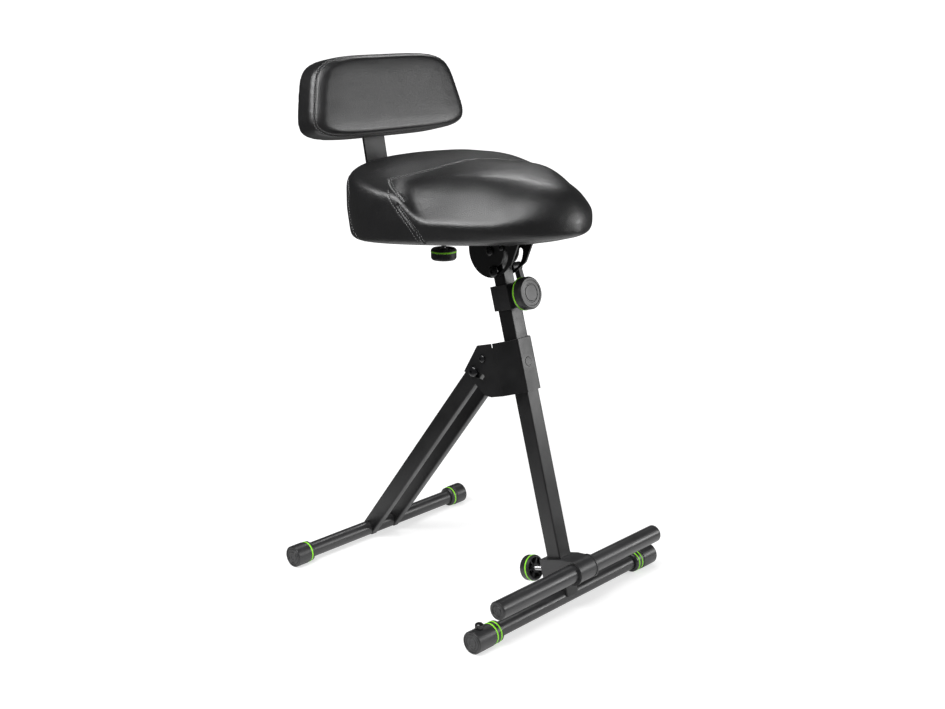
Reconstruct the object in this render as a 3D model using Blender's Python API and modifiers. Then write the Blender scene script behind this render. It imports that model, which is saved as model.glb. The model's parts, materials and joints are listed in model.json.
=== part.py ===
"""A folding sit-stand stool with a saddle seat, a backrest and a footrest.

Metres, +Z up. The sitter faces -Y, so the sitter's right is -X. The origin is on the floor,
under the middle of the stool's box. "Along" is a distance up the leaning post, from the axis
of the front foot bar. "Behind" is a distance square to the post, towards the back.
"""

import math

import bmesh
import bpy
from mathutils import Matrix, Vector

# Fits
GAP = 0.0003
BOLT_PLAY = 0.0003

# Leaning post: a square tube, its collar and the tube that slides in it
POST_LEAN = math.radians(15.6)
POST_SIZE = 0.030
POST_WALL = 0.002
POST_TOP = 0.5365
POST_FOOT = 0.001
TUBE_CORNER = 0.0026
POST_PLAY = 0.0005
COLLAR_WALL = 0.004
COLLAR_LIP = 0.004
COLLAR_LENGTH = 0.042
UPPER_WALL = 0.002
UPPER_BELOW_COLLAR = 0.258
UPPER_OVER_PIVOT = 0.010
GLIDE_FLANGE = 0.004
GLIDE_STEM = 0.015

# Foot bars and their caps
FOOT_SPAN = 0.4625
FRONT_BAR_RADIUS = 0.0125
REAR_BAR_RADIUS = 0.0135
BAR_WALL = 0.002
FRONT_REACH = 0.2387
REAR_REACH = 0.2216
FRONT_CAP_RADIUS = 0.0190
REAR_CAP_RADIUS = 0.0196
FRONT_CAP_LENGTH = 0.060
REAR_CAP_LENGTH = 0.040
FRONT_CAP_SOCKET = 0.026
REAR_CAP_SOCKET = 0.034
CAP_FLAT = 0.0004
CAP_EDGE = 0.002
CAP_NECK_STEP = 0.0010
CAP_FACE_RECESS = 0.0008
CAP_FACE_RING = 0.006
RING_WIDTH = 0.0024
RING_DEPTH = 0.0010
RING_PROUD = 0.0004
FRONT_RINGS = (0.0075, 0.0165)
REAR_RINGS = (0.0075,)

# Levelling foot in the right front cap
LEVEL_FROM_END = 0.018
LEVEL_SCREW_RADIUS = 0.004
LEVEL_KNOB_RADIUS = 0.0068
LEVEL_KNOB_HEIGHT = 0.009
LEVEL_PAD_LENGTH = 0.022
LEVEL_PAD_WIDTH = 0.016
LEVEL_PAD_HEIGHT = 0.006

# Folding bracket and rear legs
BRACKET_SHEET = 0.003
BRACKET_BEND = 0.004
BRACKET_BOTTOM = 0.3576
BRACKET_TOP = 0.4480
BRACKET_FRONT_MARGIN = 0.0015
BRACKET_FLARE_BEHIND = 0.017
BRACKET_NOTCH_WIDTH = 0.004
BRACKET_NOTCH_DEPTH = 0.007
EAR_BACK_BEHIND = 0.0967
EAR_BACK_BELOW_TOP = 0.0405
EAR_TOP_BEHIND = 0.0545
EAR_FOOT_BEHIND = 0.0585
EAR_FOOT_RISE = 0.0041
EAR_HEEL_BEHIND = 0.0450
EAR_PLAY = 0.001
HINGE_BEHIND = 0.0475
HINGE_BELOW_TOP = 0.0225
HINGE_BOLT_RADIUS = 0.0045
HINGE_HEAD_RADIUS = 0.0072
STOP_RADIUS = 0.033
STOP_BOLT_RADIUS = 0.005
STOP_HEAD_RADIUS = 0.0098
FOLD_ANGLE = math.radians(38)
LEG_DEPTH = 0.030
LEG_THICK = 0.015
LEG_WALL = 0.0015
LEG_BESIDE_POST = 0.0065
LEG_TOP_PAST_HINGE = 0.014
LEG_PAST_BAR = 0.003
SPACER_WALL = 0.0025
NUT_HEIGHT = 0.006
HEAD_HEIGHT_SHARE = 0.7
NUT_MARGIN = 0.003

# Footrest on its sliding carrier
CARRIER_WALL = 0.008
CARRIER_BACK_WALL = 0.010
CARRIER_BAND = 0.004
CARRIER_RISE = 0.003
CARRIER_LIP = 0.0012
CARRIER_LIP_WIDTH = 0.003
FOOTREST_AHEAD = 0.0425
FOOTREST_ALONG = 0.0457
FOOTREST_RADIUS = 0.0155
FOOTREST_WALL = 0.002
FOOTREST_REACH = 0.2108
PLUG_LIP = 0.003
PLUG_STEM = 0.014

# Clamping knobs
BIG_KNOB_RADIUS = 0.0275
BIG_KNOB_HEIGHT = 0.022
SMALL_KNOB_RADIUS = 0.0225
SMALL_KNOB_HEIGHT = 0.020
KNOB_WALL = 0.004
KNOB_EDGE = 0.0025
KNOB_FACE_LIP = 0.0035
KNOB_FACE_RECESS = 0.001
KNOB_HUB_RADIUS = 0.008
KNOB_FLOOR = 0.008
KNOB_RING_RISE = 0.0055
KNOB_SPOKES = 6
KNOB_SPOKE_WIDTH = 0.0026
KNOB_SPOKE_DEPTH = 0.006
STUD_RADIUS = 0.004
STUD_SEAT = 0.007
CLAMP_BOSS_RADIUS = 0.012
CLAMP_BOSS_LENGTH = 0.0125
FOOTREST_STUD_SHOWN = 0.034
BACKREST_STUD_SHOWN = 0.0195

# Tilting seat bracket
CHEEK_SPACER = 0.0042
CHEEK_SHEET = 0.0035
CHEEK_RADIUS = 0.046
CHEEK_OVER_COLLAR = 0.0135
CHEEK_CENTRE_BEHIND = 0.003
CHEEK_FRONT_LOW = (-0.046, -0.018)
CHEEK_FRONT_HIGH = -0.062
PIVOT_BOLT_RADIUS = 0.005
PIVOT_HEAD_RADIUS = 0.008
PIVOT_SPACER_RADIUS = 0.0095
CLAMP_RADIUS = 0.0345
CLAMP_BOLT_RADIUS = 0.005
CLAMP_HEAD_RADIUS = 0.0098
CLAMP_SLOT_SWEEP = math.radians(74)
TIE_BOLT_AHEAD = 0.025
TIE_BOLT_RISE = 0.0095
TIE_BOLT_RADIUS = 0.003
TIE_HEAD_RADIUS = 0.006
BASE_SHEET = 0.003
BASE_WIDTH = 0.090
BASE_BACK = 0.172
BASE_SCREW_INSET = 0.010
SCREW_RADIUS = 0.0025
SCREW_HEAD_RADIUS = 0.005
SCREW_HEAD_HEIGHT = 0.0025
SCREW_LENGTH = 0.011

# Tilt lever
LEVER_HUB_RADIUS = 0.008
LEVER_HUB_LENGTH = 0.024
LEVER_ARM_LENGTH = 0.050
LEVER_ARM_WIDTH = 0.011
LEVER_ARM_THICK = 0.009
LEVER_SWING = math.radians(21)

# Saddle seat, measured from the tilt pivot
SEAT_UNDERSIDE = 0.0228
SEAT_BOARD = 0.012
SEAT_BOARD_SHARE = 0.70
SEAT_TOP = 0.1435
SEAT_HALF_WIDTH = 0.2070
SEAT_WIDEST_BEHIND = 0.104
SEAT_MIDDLE_AHEAD = 0.020
SEAT_NOSE_LEAD = 0.060
SEAT_REAR_BEHIND = 0.2255
SEAT_NOSE_AHEAD = 0.1715
SEAT_REAR_POWER = 2.4
SEAT_NOSE_POWER = 1.67
SEAT_BOLSTER = 0.0045
SEAT_BOLSTER_BEHIND = 0.044
SEAT_BOLSTER_RUN = 0.090
SEAT_CROWN_EASE = 1.6
SEAT_FLANK_POWER = 1.6
SEAT_NOSE_DROP = 0.0335
SEAT_NOSE_FULL = 0.014
SEAT_FLANK_DROP = 0.013
SEAT_REAR_SIDE_DROP = 0.0150
SEAT_REAR_EDGE = 0.0735
SEAT_NOSE_EDGE = 0.0525
SEAT_NOSE_UNDERCUT = 0.018
SEAT_UNDERCUT_POWER = 1.5
SEAT_SKIRT = 0.008
SEAT_SIDE_TAPER = 0.035
SEAT_FACET_FOOT = 0.0920
SEAT_FACET_INSET = 0.020
SEAT_FACET_SLOPE = 1.25
SEAT_FACET_DIP = 0.35
SEAT_FACET_DIP_FROM = 0.30
SEAT_FACET_DIP_TO = 0.72
SEAT_FACET_DIP_RUN = 0.25
SEAT_FACET_END_BEHIND = 0.030
SEAT_FACET_FADE = 0.060
SEAT_FACET_BLEND = 0.016
SEAT_TOP_ROLL = 10.5
SEAT_UNDER_ROLL = 10.5

# Backrest: a bent bar that slides in a guide under the seat, a board and a pad
BACK_BAR_WIDTH = 0.050
BACK_BAR_THICK = 0.005
BACK_BAR_FRONT_END = 0.072
BACK_BAR_BEND = 0.014
BACK_LEAN = math.radians(11.3)
BACK_BAR_BEHIND = 0.3140
PAD_CENTRE_RISE = 0.2342
PAD_HALF_HEIGHT = 0.0688
PAD_TOP_HALF = 0.157
PAD_FOOT_HALF = 0.194
PAD_THICK = 0.051
PAD_POWER = 4.8
PAD_FRONT_ROLL = 0.019
PAD_BACK_ROLL = 0.005
PAD_CROWN = 0.005
BACK_BOARD = 0.015
BACK_BOARD_SHARE = 0.82
BACK_BOLT_RADIUS = 0.003
BACK_BOLT_HEAD = 0.0075
BACK_BOLT_SPACING = 0.050
GUIDE_SHEET = 0.0025
GUIDE_LENGTH = 0.078
GUIDE_FLANGE = 0.014
GUIDE_BEND = 0.003
GUIDE_BOSS_RADIUS = 0.009
GUIDE_BOSS_LENGTH = 0.0075
BACK_KNOB_BEHIND = 0.1277

# Facets
TURN_STEPS = 20
BOLT_STEPS = 12
SEAT_SEGMENTS = 44
PAD_SEGMENTS = 44
SEAT_TOP_RINGS = (0.0, 0.2, 0.38, 0.52, 0.63, 0.72, 0.79, 0.85, 0.90, 0.94, 0.97, 0.99, 1.0)
SEAT_UNDER_RINGS = (0.985, 0.955, 0.90, 0.80, 0.70, 0.0)
PAD_FRONT_RINGS = ((0.0, 1.0), (0.5, 0.8), (0.85, 0.4))
PAD_FRONT_STEPS = 5
PAD_BACK_STEPS = 2
PAD_BACK_RINGS = (0.6, 0.0)

# Sizes that follow from those above
FRONT_AXIS_Z = FRONT_CAP_RADIUS - CAP_FLAT
REAR_AXIS_Z = REAR_CAP_RADIUS - CAP_FLAT
UPPER_SIZE = POST_SIZE - 2 * POST_WALL - 2 * POST_PLAY
COLLAR_SIZE = POST_SIZE + 2 * GAP + 2 * COLLAR_WALL
COLLAR_TOP = POST_TOP + GAP + COLLAR_LIP
COLLAR_BOTTOM = COLLAR_TOP - COLLAR_LENGTH
HEIGHT_KNOB_ALONG = (COLLAR_TOP + COLLAR_BOTTOM) / 2
UPPER_BOTTOM = COLLAR_TOP - UPPER_BELOW_COLLAR
PIVOT_ALONG = COLLAR_TOP + CHEEK_OVER_COLLAR + CHEEK_RADIUS
UPPER_TOP = PIVOT_ALONG + UPPER_OVER_PIVOT
CARRIER_WIDTH = POST_SIZE + 2 * CARRIER_WALL
LEG_INNER = POST_SIZE / 2 + LEG_BESIDE_POST
LEG_CENTRE = LEG_INNER + LEG_THICK / 2
EAR_INNER = LEG_INNER + LEG_THICK + EAR_PLAY
EAR_OUTER = EAR_INNER + BRACKET_SHEET
HINGE_ALONG = BRACKET_TOP - HINGE_BELOW_TOP
CHEEK_INNER = UPPER_SIZE / 2 + CHEEK_SPACER
CHEEK_OUTER = CHEEK_INNER + CHEEK_SHEET
BASE_TOP = SEAT_UNDERSIDE - GAP
BASE_UNDER = BASE_TOP - BASE_SHEET
BAR_TOP = BASE_UNDER - GAP
BAR_MIDDLE = BAR_TOP - BACK_BAR_THICK / 2
GUIDE_INSIDE = BAR_TOP - BACK_BAR_THICK - GAP
CARRIER_RADIUS = FOOTREST_RADIUS + GAP + CARRIER_BAND
CARRIER_BACK = POST_SIZE / 2 + GAP + CARRIER_BACK_WALL
SEAT_MIDDLE = SEAT_WIDEST_BEHIND - SEAT_MIDDLE_AHEAD
SEAT_NOSE_RUN = SEAT_NOSE_AHEAD + SEAT_WIDEST_BEHIND + SEAT_NOSE_LEAD

# Where the stool's box reaches, measured from the front bar, so that its middle is the origin
CARRIER_FRONT_Y = (
    FOOTREST_ALONG * math.sin(POST_LEAN) - FOOTREST_AHEAD * math.cos(POST_LEAN) - CARRIER_RADIUS - CARRIER_LIP
)
PIVOT_Y = PIVOT_ALONG * math.sin(POST_LEAN)
BAR_END_RISE = BACK_BOLT_SPACING / 2 + 2 * BACK_BOLT_HEAD
BOLT_CROWN = BACK_BAR_THICK + GAP + BACK_BOLT_HEAD * HEAD_HEIGHT_SHARE
BOLT_CROWN_Y = BOLT_CROWN * math.cos(BACK_LEAN) + BACK_BOLT_SPACING / 2 * math.sin(BACK_LEAN)
REAR_MOST_Y = max(PIVOT_Y + BACK_BAR_BEHIND + BOLT_CROWN_Y, FOOT_SPAN + REAR_CAP_RADIUS)
FRONT_BAR_Y = -(CARRIER_FRONT_Y + REAR_MOST_Y) / 2

# Maps an outline's (first, second, thickness) to (x, y, z)
SIDE_VIEW = Matrix(((0, 0, 1, 0), (1, 0, 0, 0), (0, 1, 0, 0), (0, 0, 0, 1)))
END_VIEW = Matrix(((1, 0, 0, 0), (0, 0, -1, 0), (0, 1, 0, 0), (0, 0, 0, 1)))

# Turns that point a piece's own +Z along another axis
TO_X = (0, math.pi / 2, 0)
TO_MINUS_X = (0, -math.pi / 2, 0)
FORWARD = (math.pi / 2, 0, 0)
BACKWARD = (-math.pi / 2, 0, 0)
DOWN = (math.pi, 0, 0)


def clear_scene():
    """Removes every object and makes the two collections."""
    for obj in list(bpy.data.objects):
        bpy.data.objects.remove(obj)
    for name in ("sit_stand_stool", "cutters"):
        bpy.context.scene.collection.children.link(bpy.data.collections.new(name))


def finish(name, colour, roughness, metallic):
    """One Principled material."""
    material = bpy.data.materials.new(name)
    material.use_nodes = True
    shader = material.node_tree.nodes["Principled BSDF"]
    shader.inputs["Base Color"].default_value = (*colour, 1)
    shader.inputs["Roughness"].default_value = roughness
    shader.inputs["Metallic"].default_value = metallic
    return material


def add(name, mesh, parent, material, location=(0, 0, 0), rotation=(0, 0, 0)):
    """A named part at its place under its parent."""
    obj = bpy.data.objects.new(name, mesh)
    bpy.data.collections["sit_stand_stool"].objects.link(obj)
    obj.parent = parent
    obj.location = location
    obj.rotation_euler = rotation
    if material:
        mesh.materials.append(material)
    bpy.context.view_layer.update()
    return obj


def pivot(name, parent, location, rotation=(0, 0, 0)):
    """An empty that carries the pieces of one moving body."""
    return add(name, None, parent, None, location, rotation)


def make_cutter(obj):
    """Hides a shape that only cuts or joins another."""
    bpy.data.collections["sit_stand_stool"].objects.unlink(obj)
    bpy.data.collections["cutters"].objects.link(obj)
    obj.hide_render = True
    obj.display_type = "WIRE"
    return obj


def combine(target, tool, operation="DIFFERENCE"):
    """Cuts a part with a tool, or joins the tool to it."""
    make_cutter(tool)
    modifier = target.modifiers.new(tool.name, "BOOLEAN")
    modifier.operation = operation
    modifier.solver = "EXACT"
    modifier.object = tool


def arc(centre, radius, start, end, steps):
    """Points on an arc, both ends included."""
    turns = [start + (end - start) * i / steps for i in range(steps + 1)]
    return [(centre[0] + radius * math.cos(a), centre[1] + radius * math.sin(a)) for a in turns]


def circle(centre, radius, steps):
    """Points once round a circle."""
    return arc(centre, radius, 0, 2 * math.pi, steps)[:-1]


def rounded_rectangle(width, depth, radius, steps=2):
    """An outline with round corners, centred on zero."""
    x = width / 2 - radius
    y = depth / 2 - radius
    corners = ((x, y), (-x, y), (-x, -y), (x, -y))
    outline = []
    for quarter, corner in enumerate(corners):
        start = quarter * math.pi / 2
        outline += arc(corner, radius, start, start + math.pi / 2, steps)
    return outline


def arc_slot(centre, radius, start, end, half_width, steps=8, cap_steps=6):
    """A curved slot about a centre. Angles run from straight down towards the back."""
    low = start - math.pi / 2
    high = end - math.pi / 2
    tail = (centre[0] + radius * math.cos(high), centre[1] + radius * math.sin(high))
    head = (centre[0] + radius * math.cos(low), centre[1] + radius * math.sin(low))
    outer = arc(centre, radius + half_width, low, high, steps)
    far_cap = arc(tail, half_width, high, high + math.pi, cap_steps)
    inner = arc(centre, radius - half_width, high, low, steps)
    near_cap = arc(head, half_width, low + math.pi, low + 2 * math.pi, cap_steps)
    return outer + far_cap[1:-1] + inner + near_cap[1:-1]


def bent_strip(points, thickness, radius, steps=3):
    """The outline of a sheet bent along a path, with a round of the given radius at each bend."""
    corners = [Vector(p) for p in points]
    runs = [(b - a).normalized() for a, b in zip(corners, corners[1:])]
    normals = [Vector((-run.y, run.x)) for run in runs]
    path = [(corners[0], normals[0])]
    for corner, before, after, normal in zip(corners[1:-1], runs, runs[1:], normals):
        turn = math.atan2(before.x * after.y - before.y * after.x, before.dot(after))
        side = math.copysign(radius, turn)
        start = corner - before * radius * math.tan(abs(turn) / 2)
        centre = start + normal * side
        for i in range(steps + 1):
            direction = Matrix.Rotation(turn * i / steps, 2) @ normal
            path.append((centre - direction * side, direction))
    path.append((corners[-1], normals[-1]))
    left = [tuple(point + normal * thickness / 2) for point, normal in path]
    right = [tuple(point - normal * thickness / 2) for point, normal in path]
    return left + right[::-1]


def plate_mesh(name, outlines, thickness, view=None, offset=(0, 0, 0)):
    """A flat outline, with any holes, given a thickness and turned to its view."""
    curve = bpy.data.curves.new(name, "CURVE")
    curve.dimensions = "2D"
    curve.fill_mode = "BOTH"
    curve.extrude = thickness / 2
    for outline in outlines:
        spline = curve.splines.new("POLY")
        spline.points.add(len(outline) - 1)
        spline.use_cyclic_u = True
        for point, place in zip(spline.points, outline):
            point.co = (place[0], place[1], 0, 1)
    holder = bpy.data.objects.new(name, curve)
    bpy.context.scene.collection.objects.link(holder)
    graph = bpy.context.evaluated_depsgraph_get()
    mesh = bpy.data.meshes.new_from_object(holder.evaluated_get(graph))
    bpy.data.objects.remove(holder)
    work = bmesh.new()
    work.from_mesh(mesh)
    bmesh.ops.remove_doubles(work, verts=work.verts, dist=1e-6)
    bmesh.ops.recalc_face_normals(work, faces=work.faces)
    work.to_mesh(mesh)
    work.free()
    if view:
        mesh.transform(view)
    mesh.transform(Matrix.Translation(offset))
    return mesh


def box(name, size, parent, material=None, location=(0, 0, 0), rotation=(0, 0, 0)):
    """A block centred on its place."""
    work = bmesh.new()
    bmesh.ops.create_cube(work, size=1, matrix=Matrix.Diagonal((*size, 1)))
    mesh = bpy.data.meshes.new(name)
    work.to_mesh(mesh)
    work.free()
    return add(name, mesh, parent, material, location, rotation)


def turned(name, profile, parent, material, location=(0, 0, 0), rotation=(0, 0, 0), steps=TURN_STEPS):
    """A profile of (radius, height) points, spun about its own Z. A loop is a ring or a tube."""
    loop = profile[0][0] > 0 or profile[-1][0] > 0
    area = sum(a[0] * b[1] - b[0] * a[1] for a, b in zip(profile, profile[1:] + profile[:1]))
    points = profile if area < 0 else profile[::-1]
    edges = [(i, i + 1) for i in range(len(points) - 1)]
    if loop:
        edges.append((len(points) - 1, 0))
    mesh = bpy.data.meshes.new(name)
    mesh.from_pydata([(radius, 0, height) for radius, height in points], edges, [])
    obj = add(name, mesh, parent, material, location, rotation)
    screw = obj.modifiers.new("turn", "SCREW")
    screw.steps = steps
    screw.render_steps = steps
    screw.use_merge_vertices = True
    screw.merge_threshold = 1e-5
    screw.use_smooth_shade = True
    return obj


def drill(target, name, radius, length, parent, location, rotation, steps=BOLT_STEPS):
    """A round hole through a part, centred on its place."""
    half = length / 2
    profile = [(0, half), (radius, half), (radius, -half), (0, -half)]
    combine(target, turned(name, profile, parent, None, location, rotation, steps))


def round_tube(name, radius, wall, half_length, parent, material, location):
    """A round tube across the stool."""
    inside = radius - wall
    profile = [
        (radius, half_length),
        (radius, -half_length),
        (inside, -half_length),
        (inside, half_length),
    ]
    return turned(name, profile, parent, material, location, TO_X)


def square_tube(name, width, depth, wall, bottom, top, parent, material, location=(0, 0, 0)):
    """A rectangular tube up its own Z."""
    outer = rounded_rectangle(width, depth, TUBE_CORNER)
    inner = rounded_rectangle(width - 2 * wall, depth - 2 * wall, TUBE_CORNER / 2)
    mesh = plate_mesh(name, [outer, inner], top - bottom, None, (0, 0, (top + bottom) / 2))
    return add(name, mesh, parent, material, location)


def dome(radius, rise, height, steps=3):
    """The profile of a domed head, from its crown to its rim."""
    turns = [math.pi / 2 * i / steps for i in range(steps + 1)]
    return [(radius * math.sin(a), height + rise * math.cos(a)) for a in turns]


def bolt(name, radius, head_radius, length, parent, material, location, rotation):
    """A domed bolt with its shank down its own -Z, from the seat of its head."""
    rim = head_radius * HEAD_HEIGHT_SHARE / 3
    profile = dome(head_radius, 2 * rim, rim)
    profile += [(head_radius, 0), (radius, 0), (radius, -length), (0, -length)]
    return turned(name, profile, parent, material, location, rotation, BOLT_STEPS)


def nut(name, radius, parent, material, location, rotation):
    """A hexagon nut that stands on its place, up its own Z."""
    outline = circle((0, 0), radius + NUT_MARGIN, 6)
    bore = circle((0, 0), radius + GAP, BOLT_STEPS)
    mesh = plate_mesh(name, [outline, bore], NUT_HEIGHT, None, (0, 0, NUT_HEIGHT / 2))
    return add(name, mesh, parent, material, location, rotation)


def ring(name, seat_radius, proud_radius, parent, material, location, rotation):
    """A soft ring in a groove, narrower on its outer side."""
    half = RING_WIDTH / 2 - GAP
    inner = seat_radius + GAP
    profile = [(inner, half), (proud_radius, half / 2), (proud_radius, -half / 2), (inner, -half)]
    return turned(name, profile, parent, material, location, rotation)


def grooves(radius, centres):
    """Profile points of ring grooves, from the highest to the lowest."""
    points = []
    for centre in sorted(centres, reverse=True):
        top = centre + RING_WIDTH / 2
        foot = centre - RING_WIDTH / 2
        points += [(radius, top), (radius - RING_DEPTH, top), (radius - RING_DEPTH, foot), (radius, foot)]
    return points


def foot_cap(side, end, sizes, parent, looks):
    """A moulded cap on a foot bar's end, with its rings. Its own Z points out along the bar."""
    radius, length, socket, bar_radius, reach, rings = sizes
    sign = -1 if side == "right" else 1
    neck = radius - CAP_NECK_STEP
    bore = bar_radius + GAP
    neck_end = max(rings) + 2 * RING_WIDTH
    face_out = radius - CAP_EDGE - CAP_FACE_RING / 4
    face_in = face_out - CAP_FACE_RING
    profile = [
        (0, length),
        (face_in, length),
        (face_in, length - CAP_FACE_RECESS),
        (face_out, length - CAP_FACE_RECESS),
        (face_out, length),
        (radius - CAP_EDGE, length),
        (radius, length - CAP_EDGE),
        (radius, neck_end),
        (neck, neck_end - CAP_NECK_STEP),
        *grooves(neck, rings),
        (neck, CAP_EDGE),
        (neck - CAP_EDGE, 0),
        (bore, 0),
        (bore, socket),
        (0, socket),
    ]
    place = (sign * (reach - length), 0, 0)
    turn = TO_X if sign > 0 else TO_MINUS_X
    cap = turned(f"{end}_cap_{side}", profile, parent, looks["plastic"], place, turn)
    for number, centre in enumerate(rings, 1):
        name = f"{end}_ring_{side}" if len(rings) == 1 else f"{end}_ring_{side}_{number}"
        at = (sign * (reach - length + centre), 0, 0)
        ring(name, neck - RING_DEPTH, neck + RING_PROUD, parent, looks["green"], at, turn)
    return cap


def flatten_foot(cap, name, stool, reach, length, y):
    """Cuts the floor flat under a cap."""
    size = (2 * length, 4 * FRONT_CAP_RADIUS, 4 * FRONT_CAP_RADIUS)
    sign = math.copysign(1, reach)
    place = (reach - sign * length / 2, y, -size[2] / 2)
    combine(cap, box(name, size, stool, None, place))


def build_frame(stool, post, looks):
    """The front foot bar, the post with its collar, and the folding bracket."""
    steel = looks["steel"]
    tube = square_tube("lower_post", POST_SIZE, POST_SIZE, POST_WALL, POST_FOOT, POST_TOP, post, steel)
    across = 2 * POST_SIZE
    drill(tube, "post_foot_cope", FRONT_BAR_RADIUS + GAP, across, post, (0, 0, 0), TO_X, TURN_STEPS)
    front_wall = (0, -POST_SIZE / 2, HEIGHT_KNOB_ALONG)
    drill(tube, "post_stud_hole", STUD_RADIUS + BOLT_PLAY, 4 * POST_WALL, post, front_wall, FORWARD)

    bar_half = FRONT_REACH - FRONT_CAP_LENGTH + FRONT_CAP_SOCKET - GAP
    bar_axis = pivot("front_bar_axis", stool, (0, FRONT_BAR_Y, FRONT_AXIS_Z))
    round_tube("front_foot_bar", FRONT_BAR_RADIUS, BAR_WALL, bar_half, bar_axis, looks["steel"], (0, 0, 0))
    sizes = (FRONT_CAP_RADIUS, FRONT_CAP_LENGTH, FRONT_CAP_SOCKET, FRONT_BAR_RADIUS, FRONT_REACH, FRONT_RINGS)
    for side, sign in (("right", -1), ("left", 1)):
        cap = foot_cap(side, "front", sizes, bar_axis, looks)
        flatten_foot(cap, f"front_flat_{side}", stool, sign * FRONT_REACH, FRONT_CAP_LENGTH, FRONT_BAR_Y)
        if side == "right":
            build_leveller(cap, stool, looks)

    collar_box = rounded_rectangle(COLLAR_SIZE, COLLAR_SIZE, TUBE_CORNER)
    middle = (COLLAR_TOP + COLLAR_BOTTOM) / 2
    collar_mesh = plate_mesh("post_collar", [collar_box], COLLAR_LENGTH, None, (0, 0, middle))
    collar = add("post_collar", collar_mesh, post, looks["plastic"])
    wide = POST_SIZE + 2 * GAP
    narrow = UPPER_SIZE + 2 * GAP
    wide_depth = POST_TOP + GAP - COLLAR_BOTTOM
    socket = (wide, wide, 2 * wide_depth)
    combine(collar, box("collar_socket", socket, post, None, (0, 0, COLLAR_BOTTOM)))
    combine(collar, box("collar_mouth", (narrow, narrow, 4 * COLLAR_LIP), post, None, (0, 0, COLLAR_TOP)))
    collar_front = (0, -COLLAR_SIZE / 2, HEIGHT_KNOB_ALONG)
    drill(collar, "collar_stud_hole", STUD_RADIUS + BOLT_PLAY, 4 * COLLAR_WALL, post, collar_front, FORWARD)
    boss_profile = [
        (STUD_RADIUS + BOLT_PLAY, CLAMP_BOSS_LENGTH),
        (CLAMP_BOSS_RADIUS - CAP_EDGE, CLAMP_BOSS_LENGTH),
        (CLAMP_BOSS_RADIUS, CLAMP_BOSS_LENGTH - CAP_EDGE),
        (CLAMP_BOSS_RADIUS, 0),
        (STUD_RADIUS + BOLT_PLAY, 0),
    ]
    boss_at = (0, -COLLAR_SIZE / 2 - GAP, HEIGHT_KNOB_ALONG)
    turned("clamp_boss", boss_profile, post, looks["plastic"], boss_at, FORWARD)
    build_bracket(post, looks)


def build_leveller(cap, stool, looks):
    """The levelling screw through the right front cap, and the pad that it pushes down."""
    x = -FRONT_REACH + LEVEL_FROM_END
    top = FRONT_AXIS_Z + FRONT_CAP_RADIUS
    pocket = (LEVEL_PAD_LENGTH + 2 * GAP, LEVEL_PAD_WIDTH + 2 * GAP, 2 * (LEVEL_PAD_HEIGHT + GAP))
    combine(cap, box("level_pocket", pocket, stool, None, (x, FRONT_BAR_Y, 0)))
    bore = LEVEL_SCREW_RADIUS + BOLT_PLAY
    drill(cap, "level_bore", bore, 4 * FRONT_CAP_RADIUS, stool, (x, FRONT_BAR_Y, FRONT_AXIS_Z), (0, 0, 0))

    screw = pivot("levelling_axis", stool, (x, FRONT_BAR_Y, 0))
    knob_foot = top + GAP
    knob_top = knob_foot + LEVEL_KNOB_HEIGHT
    edge = LEVEL_KNOB_RADIUS / 5
    profile = [
        (0, knob_top),
        (LEVEL_KNOB_RADIUS - edge, knob_top),
        (LEVEL_KNOB_RADIUS, knob_top - edge),
        (LEVEL_KNOB_RADIUS, knob_foot + edge),
        (LEVEL_SCREW_RADIUS + edge, knob_foot),
        (LEVEL_SCREW_RADIUS, knob_foot),
        (LEVEL_SCREW_RADIUS, LEVEL_PAD_HEIGHT + GAP),
        (0, LEVEL_PAD_HEIGHT + GAP),
    ]
    turned("levelling_screw", profile, screw, looks["bolt"], steps=BOLT_STEPS)
    size = (LEVEL_PAD_LENGTH, LEVEL_PAD_WIDTH, LEVEL_PAD_HEIGHT)
    box("levelling_pad", size, screw, looks["rubber"], (0, 0, LEVEL_PAD_HEIGHT / 2))


def leg_rest():
    """The hinge's place and the rear legs' length and lean, worked out from the two foot bars."""
    lean_cos = math.cos(POST_LEAN)
    lean_sin = math.sin(POST_LEAN)
    hinge_y = HINGE_ALONG * lean_sin + HINGE_BEHIND * lean_cos
    hinge_z = FRONT_AXIS_Z + HINGE_ALONG * lean_cos - HINGE_BEHIND * lean_sin
    run = FOOT_SPAN - hinge_y
    rise = hinge_z - REAR_AXIS_Z
    return math.hypot(run, rise), math.atan2(run, rise)


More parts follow.
